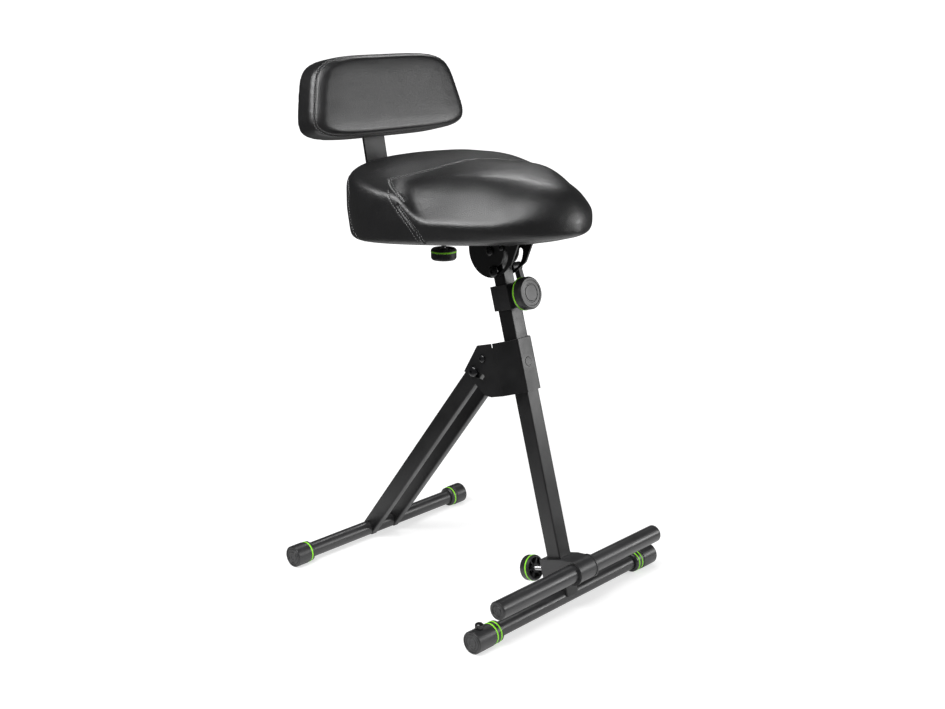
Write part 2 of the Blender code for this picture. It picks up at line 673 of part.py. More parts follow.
def build_bracket(post, looks):
    """The flared bracket that the rear legs fold in, with its curved stop slots, and the hinge bolt."""
    ear = EAR_INNER + BRACKET_SHEET / 2
    front_half = POST_SIZE / 2 + BRACKET_FRONT_MARGIN
    front_y = -(POST_SIZE / 2 + GAP + BRACKET_SHEET / 2)
    back_y = EAR_BACK_BEHIND + BRACKET_SHEET
    path = [
        (ear, back_y),
        (ear, BRACKET_FLARE_BEHIND),
        (front_half, front_y),
        (-front_half, front_y),
        (-ear, BRACKET_FLARE_BEHIND),
        (-ear, back_y),
    ]
    tall = BRACKET_TOP - BRACKET_BOTTOM
    section = bent_strip(path, BRACKET_SHEET, BRACKET_BEND)
    mesh = plate_mesh("hinge_bracket", [section], 2 * tall, None, (0, 0, BRACKET_TOP - tall / 2))
    bracket = add("hinge_bracket", mesh, post, looks["steel"])

    front = front_y - BRACKET_SHEET
    side = [
        (front, BRACKET_TOP),
        (EAR_TOP_BEHIND, BRACKET_TOP),
        (EAR_BACK_BEHIND, BRACKET_TOP - EAR_BACK_BELOW_TOP),
        (EAR_FOOT_BEHIND, BRACKET_BOTTOM + EAR_FOOT_RISE),
        (EAR_HEEL_BEHIND, BRACKET_BOTTOM),
        (front, BRACKET_BOTTOM),
    ]
    width = 4 * EAR_OUTER
    keep = add("bracket_outline", plate_mesh("bracket_outline", [side], width, SIDE_VIEW), post, None)
    combine(bracket, keep, "INTERSECT")
    hinge = (HINGE_BEHIND, HINGE_ALONG)
    rest = leg_rest()[1] + POST_LEAN
    slot = arc_slot(hinge, STOP_RADIUS, rest - FOLD_ANGLE, rest, STOP_BOLT_RADIUS + BOLT_PLAY)
    combine(bracket, add("stop_slot", plate_mesh("stop_slot", [slot], width, SIDE_VIEW), post, None))
    at_hinge = (0, HINGE_BEHIND, HINGE_ALONG)
    drill(bracket, "bracket_hinge_hole", HINGE_BOLT_RADIUS + BOLT_PLAY, width, post, at_hinge, TO_X)
    notch = (width, BRACKET_NOTCH_WIDTH, 2 * BRACKET_NOTCH_DEPTH)
    notch_at = (0, BRACKET_FLARE_BEHIND + BRACKET_NOTCH_WIDTH, BRACKET_TOP)
    combine(bracket, box("bend_notch", notch, post, None, notch_at))

    length = 2 * EAR_OUTER + GAP + NUT_HEIGHT
    head_at = (-EAR_OUTER - GAP, HINGE_BEHIND, HINGE_ALONG)
    radii = (HINGE_BOLT_RADIUS, HINGE_HEAD_RADIUS)
    bolt("leg_hinge_bolt", *radii, length, post, looks["bolt"], head_at, TO_MINUS_X)
    nut_at = (EAR_OUTER + GAP, HINGE_BEHIND, HINGE_ALONG)
    nut("leg_hinge_nut", HINGE_BOLT_RADIUS, post, looks["bolt"], nut_at, TO_X)


def build_rear_legs(post, looks):
    """The folding rear frame: two tubes on a foot bar, the stop bolt and the hinge spacer."""
    length, lean = leg_rest()
    hinge = pivot("leg_hinge", post, (0, HINGE_BEHIND, HINGE_ALONG), (lean + POST_LEAN, 0, 0))
    bar_at = (0, 0, -length)
    for side, sign in (("right", -1), ("left", 1)):
        place = (sign * LEG_CENTRE, 0, 0)
        foot = -length - LEG_PAST_BAR
        section = (LEG_THICK, LEG_DEPTH, LEG_WALL)
        reach = (foot, LEG_TOP_PAST_HINGE)
        leg = square_tube(f"rear_leg_{side}", *section, *reach, hinge, looks["steel"], place)
        across = 4 * LEG_THICK
        at_bar = (sign * LEG_CENTRE, 0, -length)
        at_stop = (sign * LEG_CENTRE, 0, -STOP_RADIUS)
        drill(leg, f"leg_cope_{side}", REAR_BAR_RADIUS + GAP, across, hinge, at_bar, TO_X, TURN_STEPS)
        drill(leg, f"leg_hinge_hole_{side}", HINGE_BOLT_RADIUS + BOLT_PLAY, across, hinge, place, TO_X)
        drill(leg, f"leg_stop_hole_{side}", STOP_BOLT_RADIUS + BOLT_PLAY, across, hinge, at_stop, TO_X)

    spacer_half = LEG_INNER - GAP
    bore = HINGE_BOLT_RADIUS + BOLT_PLAY
    outside = bore + SPACER_WALL
    profile = [(outside, spacer_half), (outside, -spacer_half), (bore, -spacer_half), (bore, spacer_half)]
    turned("leg_spacer", profile, hinge, looks["steel"], (0, 0, 0), TO_X, BOLT_STEPS)

    head_at = (-EAR_OUTER - GAP, 0, -STOP_RADIUS)
    shank = 2 * EAR_OUTER + GAP + NUT_HEIGHT
    radii = (STOP_BOLT_RADIUS, STOP_HEAD_RADIUS)
    bolt("leg_stop_bolt", *radii, shank, hinge, looks["bolt"], head_at, TO_MINUS_X)
    nut("leg_stop_nut", STOP_BOLT_RADIUS, hinge, looks["bolt"], (EAR_OUTER + GAP, 0, -STOP_RADIUS), TO_X)

    stool = post.parent
    bar_axis = pivot("rear_bar_axis", hinge, bar_at)
    bar_half = REAR_REACH - REAR_CAP_LENGTH + REAR_CAP_SOCKET - GAP
    round_tube("rear_foot_bar", REAR_BAR_RADIUS, BAR_WALL, bar_half, bar_axis, looks["steel"], (0, 0, 0))
    sizes = (REAR_CAP_RADIUS, REAR_CAP_LENGTH, REAR_CAP_SOCKET, REAR_BAR_RADIUS, REAR_REACH, REAR_RINGS)
    for side, sign in (("right", -1), ("left", 1)):
        cap = foot_cap(side, "rear", sizes, bar_axis, looks)
        rear_y = FRONT_BAR_Y + FOOT_SPAN
        flatten_foot(cap, f"rear_flat_{side}", stool, sign * REAR_REACH, REAR_CAP_LENGTH, rear_y)


def knob(prefix, radius, height, stud_length, parent, looks, location, rotation):
    """A spoked clamping knob with a soft ring and a stud. Its own Z points to the hand."""
    axis = pivot(f"{prefix}_knob_axis", parent, location, rotation)
    cup = radius - KNOB_WALL
    face = radius - KNOB_EDGE
    groove = KNOB_RING_RISE
    bore = STUD_RADIUS + GAP
    profile = [
        (0, height - KNOB_FACE_RECESS),
        (face - KNOB_FACE_LIP, height - KNOB_FACE_RECESS),
        (face - KNOB_FACE_LIP, height),
        (face, height),
        (radius, height - KNOB_EDGE),
        *grooves(radius, (groove,)),
        (radius, KNOB_EDGE),
        (face, 0),
        (cup, 0),
        (cup, KNOB_FLOOR),
        (KNOB_HUB_RADIUS, KNOB_FLOOR),
        (KNOB_HUB_RADIUS, 0),
        (bore, 0),
        (bore, STUD_SEAT + GAP),
        (0, STUD_SEAT + GAP),
    ]
    body = turned(f"{prefix}_knob", profile, axis, looks["plastic"])
    half = KNOB_SPOKE_WIDTH / 2
    star = []
    for spoke in range(KNOB_SPOKES):
        turn = Matrix.Rotation(2 * math.pi * spoke / KNOB_SPOKES, 2)
        inner = KNOB_HUB_RADIUS - half
        outer = cup + KNOB_WALL / 4
        for corner in ((inner, -half), (outer, -half), (outer, half), (inner, half)):
            star.append(tuple(turn @ Vector(corner)))
    eye = circle((0, 0), (bore + KNOB_HUB_RADIUS) / 2, BOLT_STEPS)
    foot = KNOB_FLOOR - KNOB_SPOKE_DEPTH
    top = KNOB_FLOOR + GAP
    mesh = plate_mesh(f"{prefix}_spokes", [star, eye], top - foot, None, (0, 0, (top + foot) / 2))
    combine(body, add(f"{prefix}_spokes", mesh, axis, None), "UNION")
    seat = radius - RING_DEPTH
    ring(f"{prefix}_knob_ring", seat, radius + RING_PROUD, axis, looks["green"], (0, 0, groove), (0, 0, 0))
    tip = STUD_RADIUS / 4
    stud = [
        (0, STUD_SEAT),
        (STUD_RADIUS, STUD_SEAT),
        (STUD_RADIUS, tip - stud_length),
        (STUD_RADIUS - tip, -stud_length),
        (0, -stud_length),
    ]
    turned(f"{prefix}_stud", stud, axis, looks["bolt"], steps=BOLT_STEPS)


def build_footrest(post, looks):
    """The footrest tube in its moulded carrier, which slides on the post, and its clamping knob."""
    slide = pivot("footrest_slide", post, (0, 0, FOOTREST_ALONG))
    ahead = -FOOTREST_AHEAD
    outline = arc((ahead, 0), CARRIER_RADIUS, math.pi / 2, 3 * math.pi / 2, 14)
    top = CARRIER_RADIUS + CARRIER_RISE
    shoulder = -POST_SIZE / 2 - CARRIER_WALL
    outline += [(CARRIER_BACK, -CARRIER_RADIUS), (CARRIER_BACK, top), (shoulder, top)]
    mesh = plate_mesh("footrest_carrier", [outline], CARRIER_WIDTH, SIDE_VIEW)
    carrier = add("footrest_carrier", mesh, slide, looks["plastic"])
    for side, sign in (("right", -1), ("left", 1)):
        lip = circle((ahead, 0), CARRIER_RADIUS + CARRIER_LIP, TURN_STEPS)
        lip_at = (sign * (CARRIER_WIDTH - CARRIER_LIP_WIDTH) / 2, 0, 0)
        lip_mesh = plate_mesh(f"carrier_lip_{side}", [lip], CARRIER_LIP_WIDTH, SIDE_VIEW, lip_at)
        combine(carrier, add(f"carrier_lip_{side}", lip_mesh, slide, None), "UNION")
    opening = POST_SIZE + 2 * GAP
    combine(carrier, box("carrier_post_hole", (opening, opening, 4 * CARRIER_RADIUS), slide))
    wide = 2 * CARRIER_WIDTH
    drill(carrier, "carrier_tube_hole", FOOTREST_RADIUS + GAP, wide, slide, (0, ahead, 0), TO_X, TURN_STEPS)
    back_hole = (0, CARRIER_BACK, 0)
    hole = STUD_RADIUS + BOLT_PLAY
    drill(carrier, "carrier_stud_hole", hole, 4 * CARRIER_BACK_WALL, slide, back_hole, BACKWARD)

    tube_half = FOOTREST_REACH - PLUG_LIP - GAP
    tube_at = (0, ahead, 0)
    round_tube("footrest_tube", FOOTREST_RADIUS, FOOTREST_WALL, tube_half, slide, looks["steel"], tube_at)
    stem = FOOTREST_RADIUS - FOOTREST_WALL - GAP
    for side, sign, turn in (("right", -1, TO_MINUS_X), ("left", 1, TO_X)):
        profile = [
            (0, PLUG_LIP - CAP_FACE_RECESS),
            (FOOTREST_RADIUS / 2, PLUG_LIP - CAP_FACE_RECESS),
            (FOOTREST_RADIUS / 2, PLUG_LIP),
            (FOOTREST_RADIUS - PLUG_LIP / 3, PLUG_LIP),
            (FOOTREST_RADIUS, PLUG_LIP - PLUG_LIP / 3),
            (FOOTREST_RADIUS, 0),
            (stem, 0),
            (stem, -PLUG_STEM),
            (0, -PLUG_STEM),
        ]
        place = (sign * (FOOTREST_REACH - PLUG_LIP), ahead, 0)
        turned(f"footrest_plug_{side}", profile, slide, looks["plastic"], place, turn)

    shown = FOOTREST_STUD_SHOWN
    at = (0, CARRIER_BACK + shown, 0)
    stud_length = CARRIER_BACK + shown - POST_SIZE / 2 - GAP
    knob("footrest", SMALL_KNOB_RADIUS, SMALL_KNOB_HEIGHT, stud_length, slide, looks, at, BACKWARD)


def build_upper_post(post, looks):
    """The sliding upper tube with its glide, the tilt pivot and clamp bolts, and the tilt lever."""
    slide = pivot("height_slide", post, (0, 0, PIVOT_ALONG))
    bottom = UPPER_BOTTOM - PIVOT_ALONG
    top = UPPER_TOP - PIVOT_ALONG
    tube = square_tube("upper_post", UPPER_SIZE, UPPER_SIZE, UPPER_WALL, bottom, top, slide, looks["steel"])
    across = 2 * UPPER_SIZE
    at_clamp = (0, 0, -CLAMP_RADIUS)
    drill(tube, "upper_pivot_hole", PIVOT_BOLT_RADIUS + BOLT_PLAY, across, slide, (0, 0, 0), TO_X)
    drill(tube, "upper_clamp_hole", CLAMP_BOLT_RADIUS + BOLT_PLAY, across, slide, at_clamp, TO_X)

    flange = UPPER_SIZE + 2 * POST_PLAY - 2 * GAP
    stem = UPPER_SIZE - 2 * UPPER_WALL - 2 * GAP
    flange_at = (0, 0, bottom - GAP - GLIDE_FLANGE / 2)
    flange_outline = rounded_rectangle(flange, flange, TUBE_CORNER)
    glide_mesh = plate_mesh("post_glide", [flange_outline], GLIDE_FLANGE, None, flange_at)
    glide = add("post_glide", glide_mesh, slide, looks["plastic"])
    stem_at = (0, 0, bottom - GAP + GLIDE_STEM / 2 - GLIDE_FLANGE / 4)
    stem_outline = rounded_rectangle(stem, stem, TUBE_CORNER)
    stem_mesh = plate_mesh("glide_stem", [stem_outline], GLIDE_STEM + GLIDE_FLANGE / 2, None, stem_at)
    combine(glide, add("glide_stem", stem_mesh, slide, None), "UNION")

    shank = 2 * CHEEK_OUTER + GAP + NUT_HEIGHT
    pivot_head = (-CHEEK_OUTER - GAP, 0, 0)
    radii = (PIVOT_BOLT_RADIUS, PIVOT_HEAD_RADIUS)
    bolt("tilt_pivot_bolt", *radii, shank, slide, looks["bolt"], pivot_head, TO_MINUS_X)
    nut("tilt_pivot_nut", PIVOT_BOLT_RADIUS, slide, looks["bolt"], (CHEEK_OUTER + GAP, 0, 0), TO_X)
    bore = PIVOT_BOLT_RADIUS + BOLT_PLAY
    half = CHEEK_SPACER / 2 - GAP
    spacer = [(PIVOT_SPACER_RADIUS, half), (PIVOT_SPACER_RADIUS, -half), (bore, -half), (bore, half)]
    for side, sign in (("right", -1), ("left", 1)):
        at = (sign * (UPPER_SIZE + CHEEK_SPACER) / 2, 0, 0)
        turned(f"tilt_spacer_{side}", spacer, slide, looks["plastic"], at, TO_X, BOLT_STEPS)

    clamp_shank = 2 * CHEEK_OUTER + 2 * GAP + LEVER_HUB_LENGTH / 2
    clamp_head = (-CHEEK_OUTER - GAP, 0, -CLAMP_RADIUS)
    radii = (CLAMP_BOLT_RADIUS, CLAMP_HEAD_RADIUS)
    bolt("tilt_clamp_bolt", *radii, clamp_shank, slide, looks["bolt"], clamp_head, TO_MINUS_X)
    build_lever(slide, looks)
    return slide


def build_lever(slide, looks):
    """The clamping lever on the left end of the clamp bolt. Its arm hangs down its own -Z."""
    at = (CHEEK_OUTER + GAP, 0, -CLAMP_RADIUS)
    axis = pivot("tilt_lever_axis", slide, at, (POST_LEAN - LEVER_SWING, 0, 0))
    bore = CLAMP_BOLT_RADIUS + BOLT_PLAY
    blind = LEVER_HUB_LENGTH / 2 + GAP
    edge = LEVER_HUB_RADIUS / 5
    profile = [
        (0, LEVER_HUB_LENGTH),
        (LEVER_HUB_RADIUS - edge, LEVER_HUB_LENGTH),
        (LEVER_HUB_RADIUS, LEVER_HUB_LENGTH - edge),
        (LEVER_HUB_RADIUS, 0),
        (bore, 0),
        (bore, blind),
        (0, blind),
    ]
    lever = turned("tilt_lever", profile, axis, looks["plastic"], (0, 0, 0), TO_X)
    half = LEVER_ARM_WIDTH / 2
    root = half - GAP
    outline = [(root, 0), (-root, 0)]
    outline += arc((0, half - LEVER_ARM_LENGTH), half, math.pi, 2 * math.pi, 8)
    middle = LEVER_HUB_LENGTH - edge - LEVER_ARM_THICK / 2
    mesh = plate_mesh("lever_arm", [outline], LEVER_ARM_THICK, SIDE_VIEW, (middle, 0, 0))
    arm = add("lever_arm", mesh, axis, None)
    combine(lever, arm, "UNION")
    drill(lever, "lever_bore", bore, 2 * blind, axis, (0, 0, 0), TO_X)


def smooth(value):
    """Eases from 0 to 1."""
    value = min(max(value, 0), 1)
    return value * value * (3 - 2 * value)


def seat_outline(angle):
    """A point of the saddle's plan: square at the back, drawn in to a nose at the front."""
    cos = math.cos(angle)
    sin = math.sin(angle)
    if sin >= 0:
        power = SEAT_REAR_POWER
        reach = SEAT_REAR_BEHIND - SEAT_WIDEST_BEHIND
    else:
        power = SEAT_NOSE_POWER
        reach = SEAT_NOSE_AHEAD + SEAT_WIDEST_BEHIND
    size = (abs(cos) ** power + abs(sin) ** power) ** (-1 / power)
    return SEAT_HALF_WIDTH * size * cos, SEAT_WIDEST_BEHIND + reach * size * sin


def seat_forward(y):
    """0 over the back of the saddle, rising to 1 at its nose."""
    return min(max((SEAT_NOSE_RUN - SEAT_NOSE_AHEAD - y) / SEAT_NOSE_RUN, 0), 1)


def seat_top(x, y, inset):
    """The height of the saddle's crown: a rear bolster, a falling nose and a facet on each flank."""
    forward = seat_forward(y)
    front = smooth(SEAT_CROWN_EASE * forward)
    across = abs(x) / SEAT_HALF_WIDTH
    crown = SEAT_TOP + SEAT_BOLSTER * smooth((y - SEAT_BOLSTER_BEHIND) / SEAT_BOLSTER_RUN)
    crown -= SEAT_NOSE_DROP * forward**2
    crown -= SEAT_FLANK_DROP * across**SEAT_FLANK_POWER * front
    crown -= SEAT_REAR_SIDE_DROP * across**2 * (1 - front)
    fade = smooth((y - SEAT_FACET_END_BEHIND) / SEAT_FACET_FADE)
    nose = smooth((forward - SEAT_FACET_DIP_TO) / SEAT_FACET_DIP_RUN)
    dip = smooth((forward - SEAT_FACET_DIP_FROM) / SEAT_FACET_DIP_RUN) * (1 - nose)
    slope = SEAT_FACET_SLOPE - SEAT_FACET_DIP * dip
    facet = SEAT_FACET_FOOT + SEAT_NOSE_FULL * nose + slope * (inset - SEAT_FACET_INSET) + SEAT_TOP * fade / 2
    share = min(max(0.5 + 0.5 * (facet - crown) / SEAT_FACET_BLEND, 0), 1)
    return facet * (1 - share) + crown * share - SEAT_FACET_BLEND * share * (1 - share)


def seat_point(angle, share, upper):
    """A point of the saddle's skin, a share of the way from its middle to its outline."""
    edge_x, edge_y = seat_outline(angle)
    x = edge_x * share
    y = SEAT_MIDDLE + (edge_y - SEAT_MIDDLE) * share
    forward = seat_forward(edge_y)
    rim = SEAT_REAR_EDGE + (SEAT_NOSE_EDGE - SEAT_REAR_EDGE) * forward
    if upper:
        inset = (1 - share) * math.hypot(edge_x, edge_y - SEAT_MIDDLE)
        height = (1 - share**SEAT_TOP_ROLL) ** (1 / SEAT_TOP_ROLL)
        return x, y, rim + (seat_top(x, y, inset) - rim) * height
    past_board = smooth((share - SEAT_BOARD_SHARE) / (1 - SEAT_BOARD_SHARE))
    skirt = SEAT_SKIRT * (x / SEAT_HALF_WIDTH) ** 2 * (1 - seat_forward(y)) ** 2
    lift = (SEAT_NOSE_UNDERCUT * seat_forward(y) ** SEAT_UNDERCUT_POWER - skirt) * past_board
    depth = (1 - share**SEAT_UNDER_ROLL) ** (1 / SEAT_UNDER_ROLL)
    taper = 1 - SEAT_SIDE_TAPER * depth
    return x * taper, SEAT_MIDDLE + (y - SEAT_MIDDLE) * taper, rim - (rim - SEAT_UNDERSIDE - lift) * depth


def build_seat(slide, looks):
    """The tilting bracket, the board and the saddle pad, with the backrest's guide and knob."""
    tilt = pivot("seat_tilt", slide, (0, 0, 0), (POST_LEAN, 0, 0))
    build_seat_bracket(tilt, looks)

    board_outline = []
    for i in range(SEAT_SEGMENTS):
        edge_x, edge_y = seat_outline(2 * math.pi * i / SEAT_SEGMENTS)
        share = SEAT_BOARD_SHARE
        board_outline.append((edge_x * share, SEAT_MIDDLE + (edge_y - SEAT_MIDDLE) * share))
    at = (0, 0, SEAT_UNDERSIDE + SEAT_BOARD / 2)
    add("seat_board", plate_mesh("seat_board", [board_outline], SEAT_BOARD, None, at), tilt, looks["wood"])

    rings = [(share, True) for share in SEAT_TOP_RINGS] + [(share, False) for share in SEAT_UNDER_RINGS]
    work = bmesh.new()
    bmesh.ops.create_uvsphere(work, u_segments=SEAT_SEGMENTS, v_segments=len(rings) - 1, radius=1)
    for vertex in work.verts:
        level = round(math.acos(min(max(vertex.co.z, -1), 1)) / math.pi * (len(rings) - 1))
        share, upper = rings[level]
        vertex.co = seat_point(math.atan2(vertex.co.y, vertex.co.x), share, upper)
    mesh = bpy.data.meshes.new("seat_cushion")
    work.to_mesh(mesh)
    work.free()
    mesh.shade_smooth()
    cushion = add("seat_cushion", mesh, tilt, looks["leather"])
    centre = Matrix.Translation((0, SEAT_MIDDLE, 0))
    recess = plate_mesh("board_recess", [board_outline], 2 * (SEAT_BOARD + GAP), None, (0, 0, SEAT_UNDERSIDE))
    margin = 1 + GAP / (SEAT_BOARD_SHARE * SEAT_HALF_WIDTH / 2)
    recess.transform(centre @ Matrix.Diagonal((margin, margin, 1, 1)) @ centre.inverted())
    combine(cushion, add("board_recess", recess, tilt, None))
    return tilt


def base_screws():
    """The four screws' places. The back pair also holds the guide's flanges."""
    front_x = BASE_WIDTH / 2 - BASE_SCREW_INSET
    front_y = CHEEK_FRONT_HIGH + BASE_SCREW_INSET
    back_x = BACK_BAR_WIDTH / 2 + GAP + GUIDE_SHEET + GUIDE_FLANGE / 2
    back_y = BACK_KNOB_BEHIND + GUIDE_LENGTH / 4
    under_guide = BASE_UNDER - GAP - GUIDE_SHEET
    return {
        "front_right": (-front_x, front_y, BASE_UNDER),
        "front_left": (front_x, front_y, BASE_UNDER),
        "back_right": (-back_x, back_y, under_guide),
        "back_left": (back_x, back_y, under_guide),
    }


def build_seat_bracket(tilt, looks):
    """The base plate with its two slotted cheeks, its screws and its tie bolt."""
    length = BASE_BACK - CHEEK_FRONT_HIGH
    at = (0, (BASE_BACK + CHEEK_FRONT_HIGH) / 2, (BASE_TOP + BASE_UNDER) / 2)
    corner = BASE_SCREW_INSET / 2
    plate = plate_mesh("seat_bracket", [rounded_rectangle(BASE_WIDTH, length, corner)], BASE_SHEET, None, at)
    bracket = add("seat_bracket", plate, tilt, looks["steel"])
    top = BASE_UNDER + BASE_SHEET / 2
    start = math.asin(top / CHEEK_RADIUS)
    low_ahead = CHEEK_CENTRE_BEHIND - CHEEK_FRONT_LOW[0]
    low_turn = math.atan2(-CHEEK_FRONT_LOW[1], low_ahead)
    tangent = math.acos(CHEEK_RADIUS / math.hypot(low_ahead, CHEEK_FRONT_LOW[1]))
    end = -math.pi + low_turn + tangent
    outline = arc((CHEEK_CENTRE_BEHIND, 0), CHEEK_RADIUS, start, end, 18)
    outline += [CHEEK_FRONT_LOW, (CHEEK_FRONT_HIGH, top)]
    slot = arc_slot(
        (0, 0), CLAMP_RADIUS, -POST_LEAN - CLAMP_SLOT_SWEEP, -POST_LEAN, CLAMP_BOLT_RADIUS + BOLT_PLAY, 10
    )
    eye = circle((0, 0), PIVOT_BOLT_RADIUS + BOLT_PLAY, BOLT_STEPS)
    tie = (-TIE_BOLT_AHEAD, TIE_BOLT_RISE)
    tie_eye = circle(tie, TIE_BOLT_RADIUS + BOLT_PLAY, BOLT_STEPS)
    outlines = [outline, slot, eye, tie_eye]
    for side, sign in (("right", -1), ("left", 1)):
        middle = sign * (CHEEK_INNER + CHEEK_OUTER) / 2
        mesh = plate_mesh(f"cheek_{side}", outlines, CHEEK_SHEET, SIDE_VIEW, (middle, 0, 0))
        combine(bracket, add(f"cheek_{side}", mesh, tilt, None), "UNION")
    head_at = (-CHEEK_OUTER - GAP, *tie)
    shank = 2 * CHEEK_OUTER + NUT_HEIGHT
    bolt("seat_tie_bolt", TIE_BOLT_RADIUS, TIE_HEAD_RADIUS, shank, tilt, looks["bolt"], head_at, TO_MINUS_X)

    for where, (x, y, under) in base_screws().items():
        hole_at = (x, y, BASE_UNDER)
        drill(bracket, f"base_hole_{where}", SCREW_RADIUS + GAP, 4 * BASE_SHEET, tilt, hole_at, (0, 0, 0))
        profile = dome(SCREW_HEAD_RADIUS, SCREW_HEAD_HEIGHT, 0, 2)
        profile += [(SCREW_RADIUS, 0), (SCREW_RADIUS, -SCREW_LENGTH), (0, -SCREW_LENGTH)]
        screw_at = (x, y, under - GAP)
        turned(f"seat_screw_{where}", profile, tilt, looks["bolt"], screw_at, DOWN, BOLT_STEPS)


def bore_board_for_screws(tilt):
    """Pilot holes for the base plate's screws in the seat board."""
    board = bpy.data.objects["seat_board"]
    for where, (x, y, _) in base_screws().items():
        depth = 2 * (SCREW_LENGTH - BASE_SHEET)
        at = (x, y, SEAT_UNDERSIDE)
        drill(board, f"board_hole_{where}", SCREW_RADIUS + GAP, depth, tilt, at, (0, 0, 0))


def pad_half_width(level):
    """The pad's half width, wider at its foot. The level runs from -1 at the foot to 1 at the top."""
    return (PAD_FOOT_HALF + PAD_TOP_HALF) / 2 + (PAD_TOP_HALF - PAD_FOOT_HALF) / 2 * level


def pad_outline(angle, inset):
    """A point of the pad's rounded outline, drawn in by an inset."""
    cos = math.cos(angle)
    sin = math.sin(angle)
    size = (abs(cos) ** PAD_POWER + abs(sin) ** PAD_POWER) ** (-1 / PAD_POWER)
    level = sin * size
    return (pad_half_width(level) - inset) * cos * size, (PAD_HALF_HEIGHT - inset) * level


def pad_rings():
    """The pad's rings from front to back, each a share of the outline, an inset and a depth."""
    rings = [(share, PAD_FRONT_ROLL, -PAD_CROWN * crown) for share, crown in PAD_FRONT_RINGS]
    for i in range(PAD_FRONT_STEPS + 1):
        turn = math.pi / 2 * i / PAD_FRONT_STEPS
        rings.append((1, PAD_FRONT_ROLL * (1 - math.sin(turn)), PAD_FRONT_ROLL * (1 - math.cos(turn))))
    for i in range(PAD_BACK_STEPS + 1):
        turn = math.pi / 2 * i / PAD_BACK_STEPS
        depth = PAD_THICK - PAD_BACK_ROLL * (1 - math.sin(turn))
        rings.append((1, PAD_BACK_ROLL * (1 - math.cos(turn)), depth))
    return rings + [(share, PAD_BACK_ROLL, PAD_THICK) for share in PAD_BACK_RINGS]


def build_backrest(tilt, looks):
    """The bent bar in its guide, the back board, the pad and the clamping knob."""
    slide = pivot("backrest_slide", tilt, (0, BACK_KNOB_BEHIND, BAR_MIDDLE))
    face_at = (0, BACK_BAR_BEHIND - BACK_KNOB_BEHIND, PAD_CENTRE_RISE - BAR_MIDDLE)
    face = pivot("backrest_face", slide, face_at, (-BACK_LEAN, 0, 0))
    half = BACK_BAR_THICK / 2
    foot_behind = BACK_BAR_BEHIND + half / math.cos(BACK_LEAN)
    foot_behind -= (PAD_CENTRE_RISE - BAR_MIDDLE) * math.tan(BACK_LEAN)
    end = BAR_END_RISE
    top = (
        BACK_BAR_BEHIND + half * math.cos(BACK_LEAN) + end * math.sin(BACK_LEAN) - BACK_KNOB_BEHIND,
        PAD_CENTRE_RISE - half * math.sin(BACK_LEAN) + end * math.cos(BACK_LEAN) - BAR_MIDDLE,
    )
    path = [(BACK_BAR_FRONT_END - BACK_KNOB_BEHIND, 0), (foot_behind - BACK_KNOB_BEHIND, 0), top]
    outline = bent_strip(path, BACK_BAR_THICK, BACK_BAR_BEND, 5)
    bar_mesh = plate_mesh("backrest_bar", [outline], BACK_BAR_WIDTH, SIDE_VIEW)
    bar = add("backrest_bar", bar_mesh, slide, looks["steel"])

    board_y = -GAP - BACK_BOARD / 2
    steps = [2 * math.pi * i / PAD_SEGMENTS for i in range(PAD_SEGMENTS)]
    board_outline = [pad_outline(a, 0) for a in steps]
    board_outline = [(x * BACK_BOARD_SHARE, z * BACK_BOARD_SHARE) for x, z in board_outline]
    mesh = plate_mesh("backrest_board", [board_outline], BACK_BOARD, END_VIEW, (0, board_y, 0))
    board = add("backrest_board", mesh, face, looks["wood"])

    rings = pad_rings()
    pad_front = -2 * GAP - BACK_BOARD - PAD_THICK
    work = bmesh.new()
    bmesh.ops.create_uvsphere(work, u_segments=PAD_SEGMENTS, v_segments=len(rings) - 1, radius=1)
    for vertex in work.verts:
        level = round(math.acos(min(max(vertex.co.z, -1), 1)) / math.pi * (len(rings) - 1))
        share, inset, depth = rings[level]
        x, z = pad_outline(math.atan2(vertex.co.y, vertex.co.x), inset)
        vertex.co = (x * share, pad_front + depth, z * share)
    bmesh.ops.recalc_face_normals(work, faces=work.faces)
    mesh = bpy.data.meshes.new("backrest_cushion")
    work.to_mesh(mesh)
    work.free()
    mesh.shade_smooth()
    add("backrest_cushion", mesh, face, looks["leather"])

    for name, sign in (("upper", 1), ("lower", -1)):
        z = sign * BACK_BOLT_SPACING / 2
        hole = BACK_BOLT_RADIUS + BOLT_PLAY
        drill(bar, f"bar_hole_{name}", hole, 4 * BACK_BAR_THICK, face, (0, half, z), BACKWARD)
        drill(board, f"board_hole_{name}", hole, 4 * BACK_BOARD, face, (0, 0, z), BACKWARD)
        length = BACK_BAR_THICK + BACK_BOARD
        at = (0, BACK_BAR_THICK + GAP, z)
        radii = (BACK_BOLT_RADIUS, BACK_BOLT_HEAD)
        bolt(f"backrest_bolt_{name}", *radii, length, face, looks["bolt"], at, BACKWARD)

    build_guide(tilt, looks)


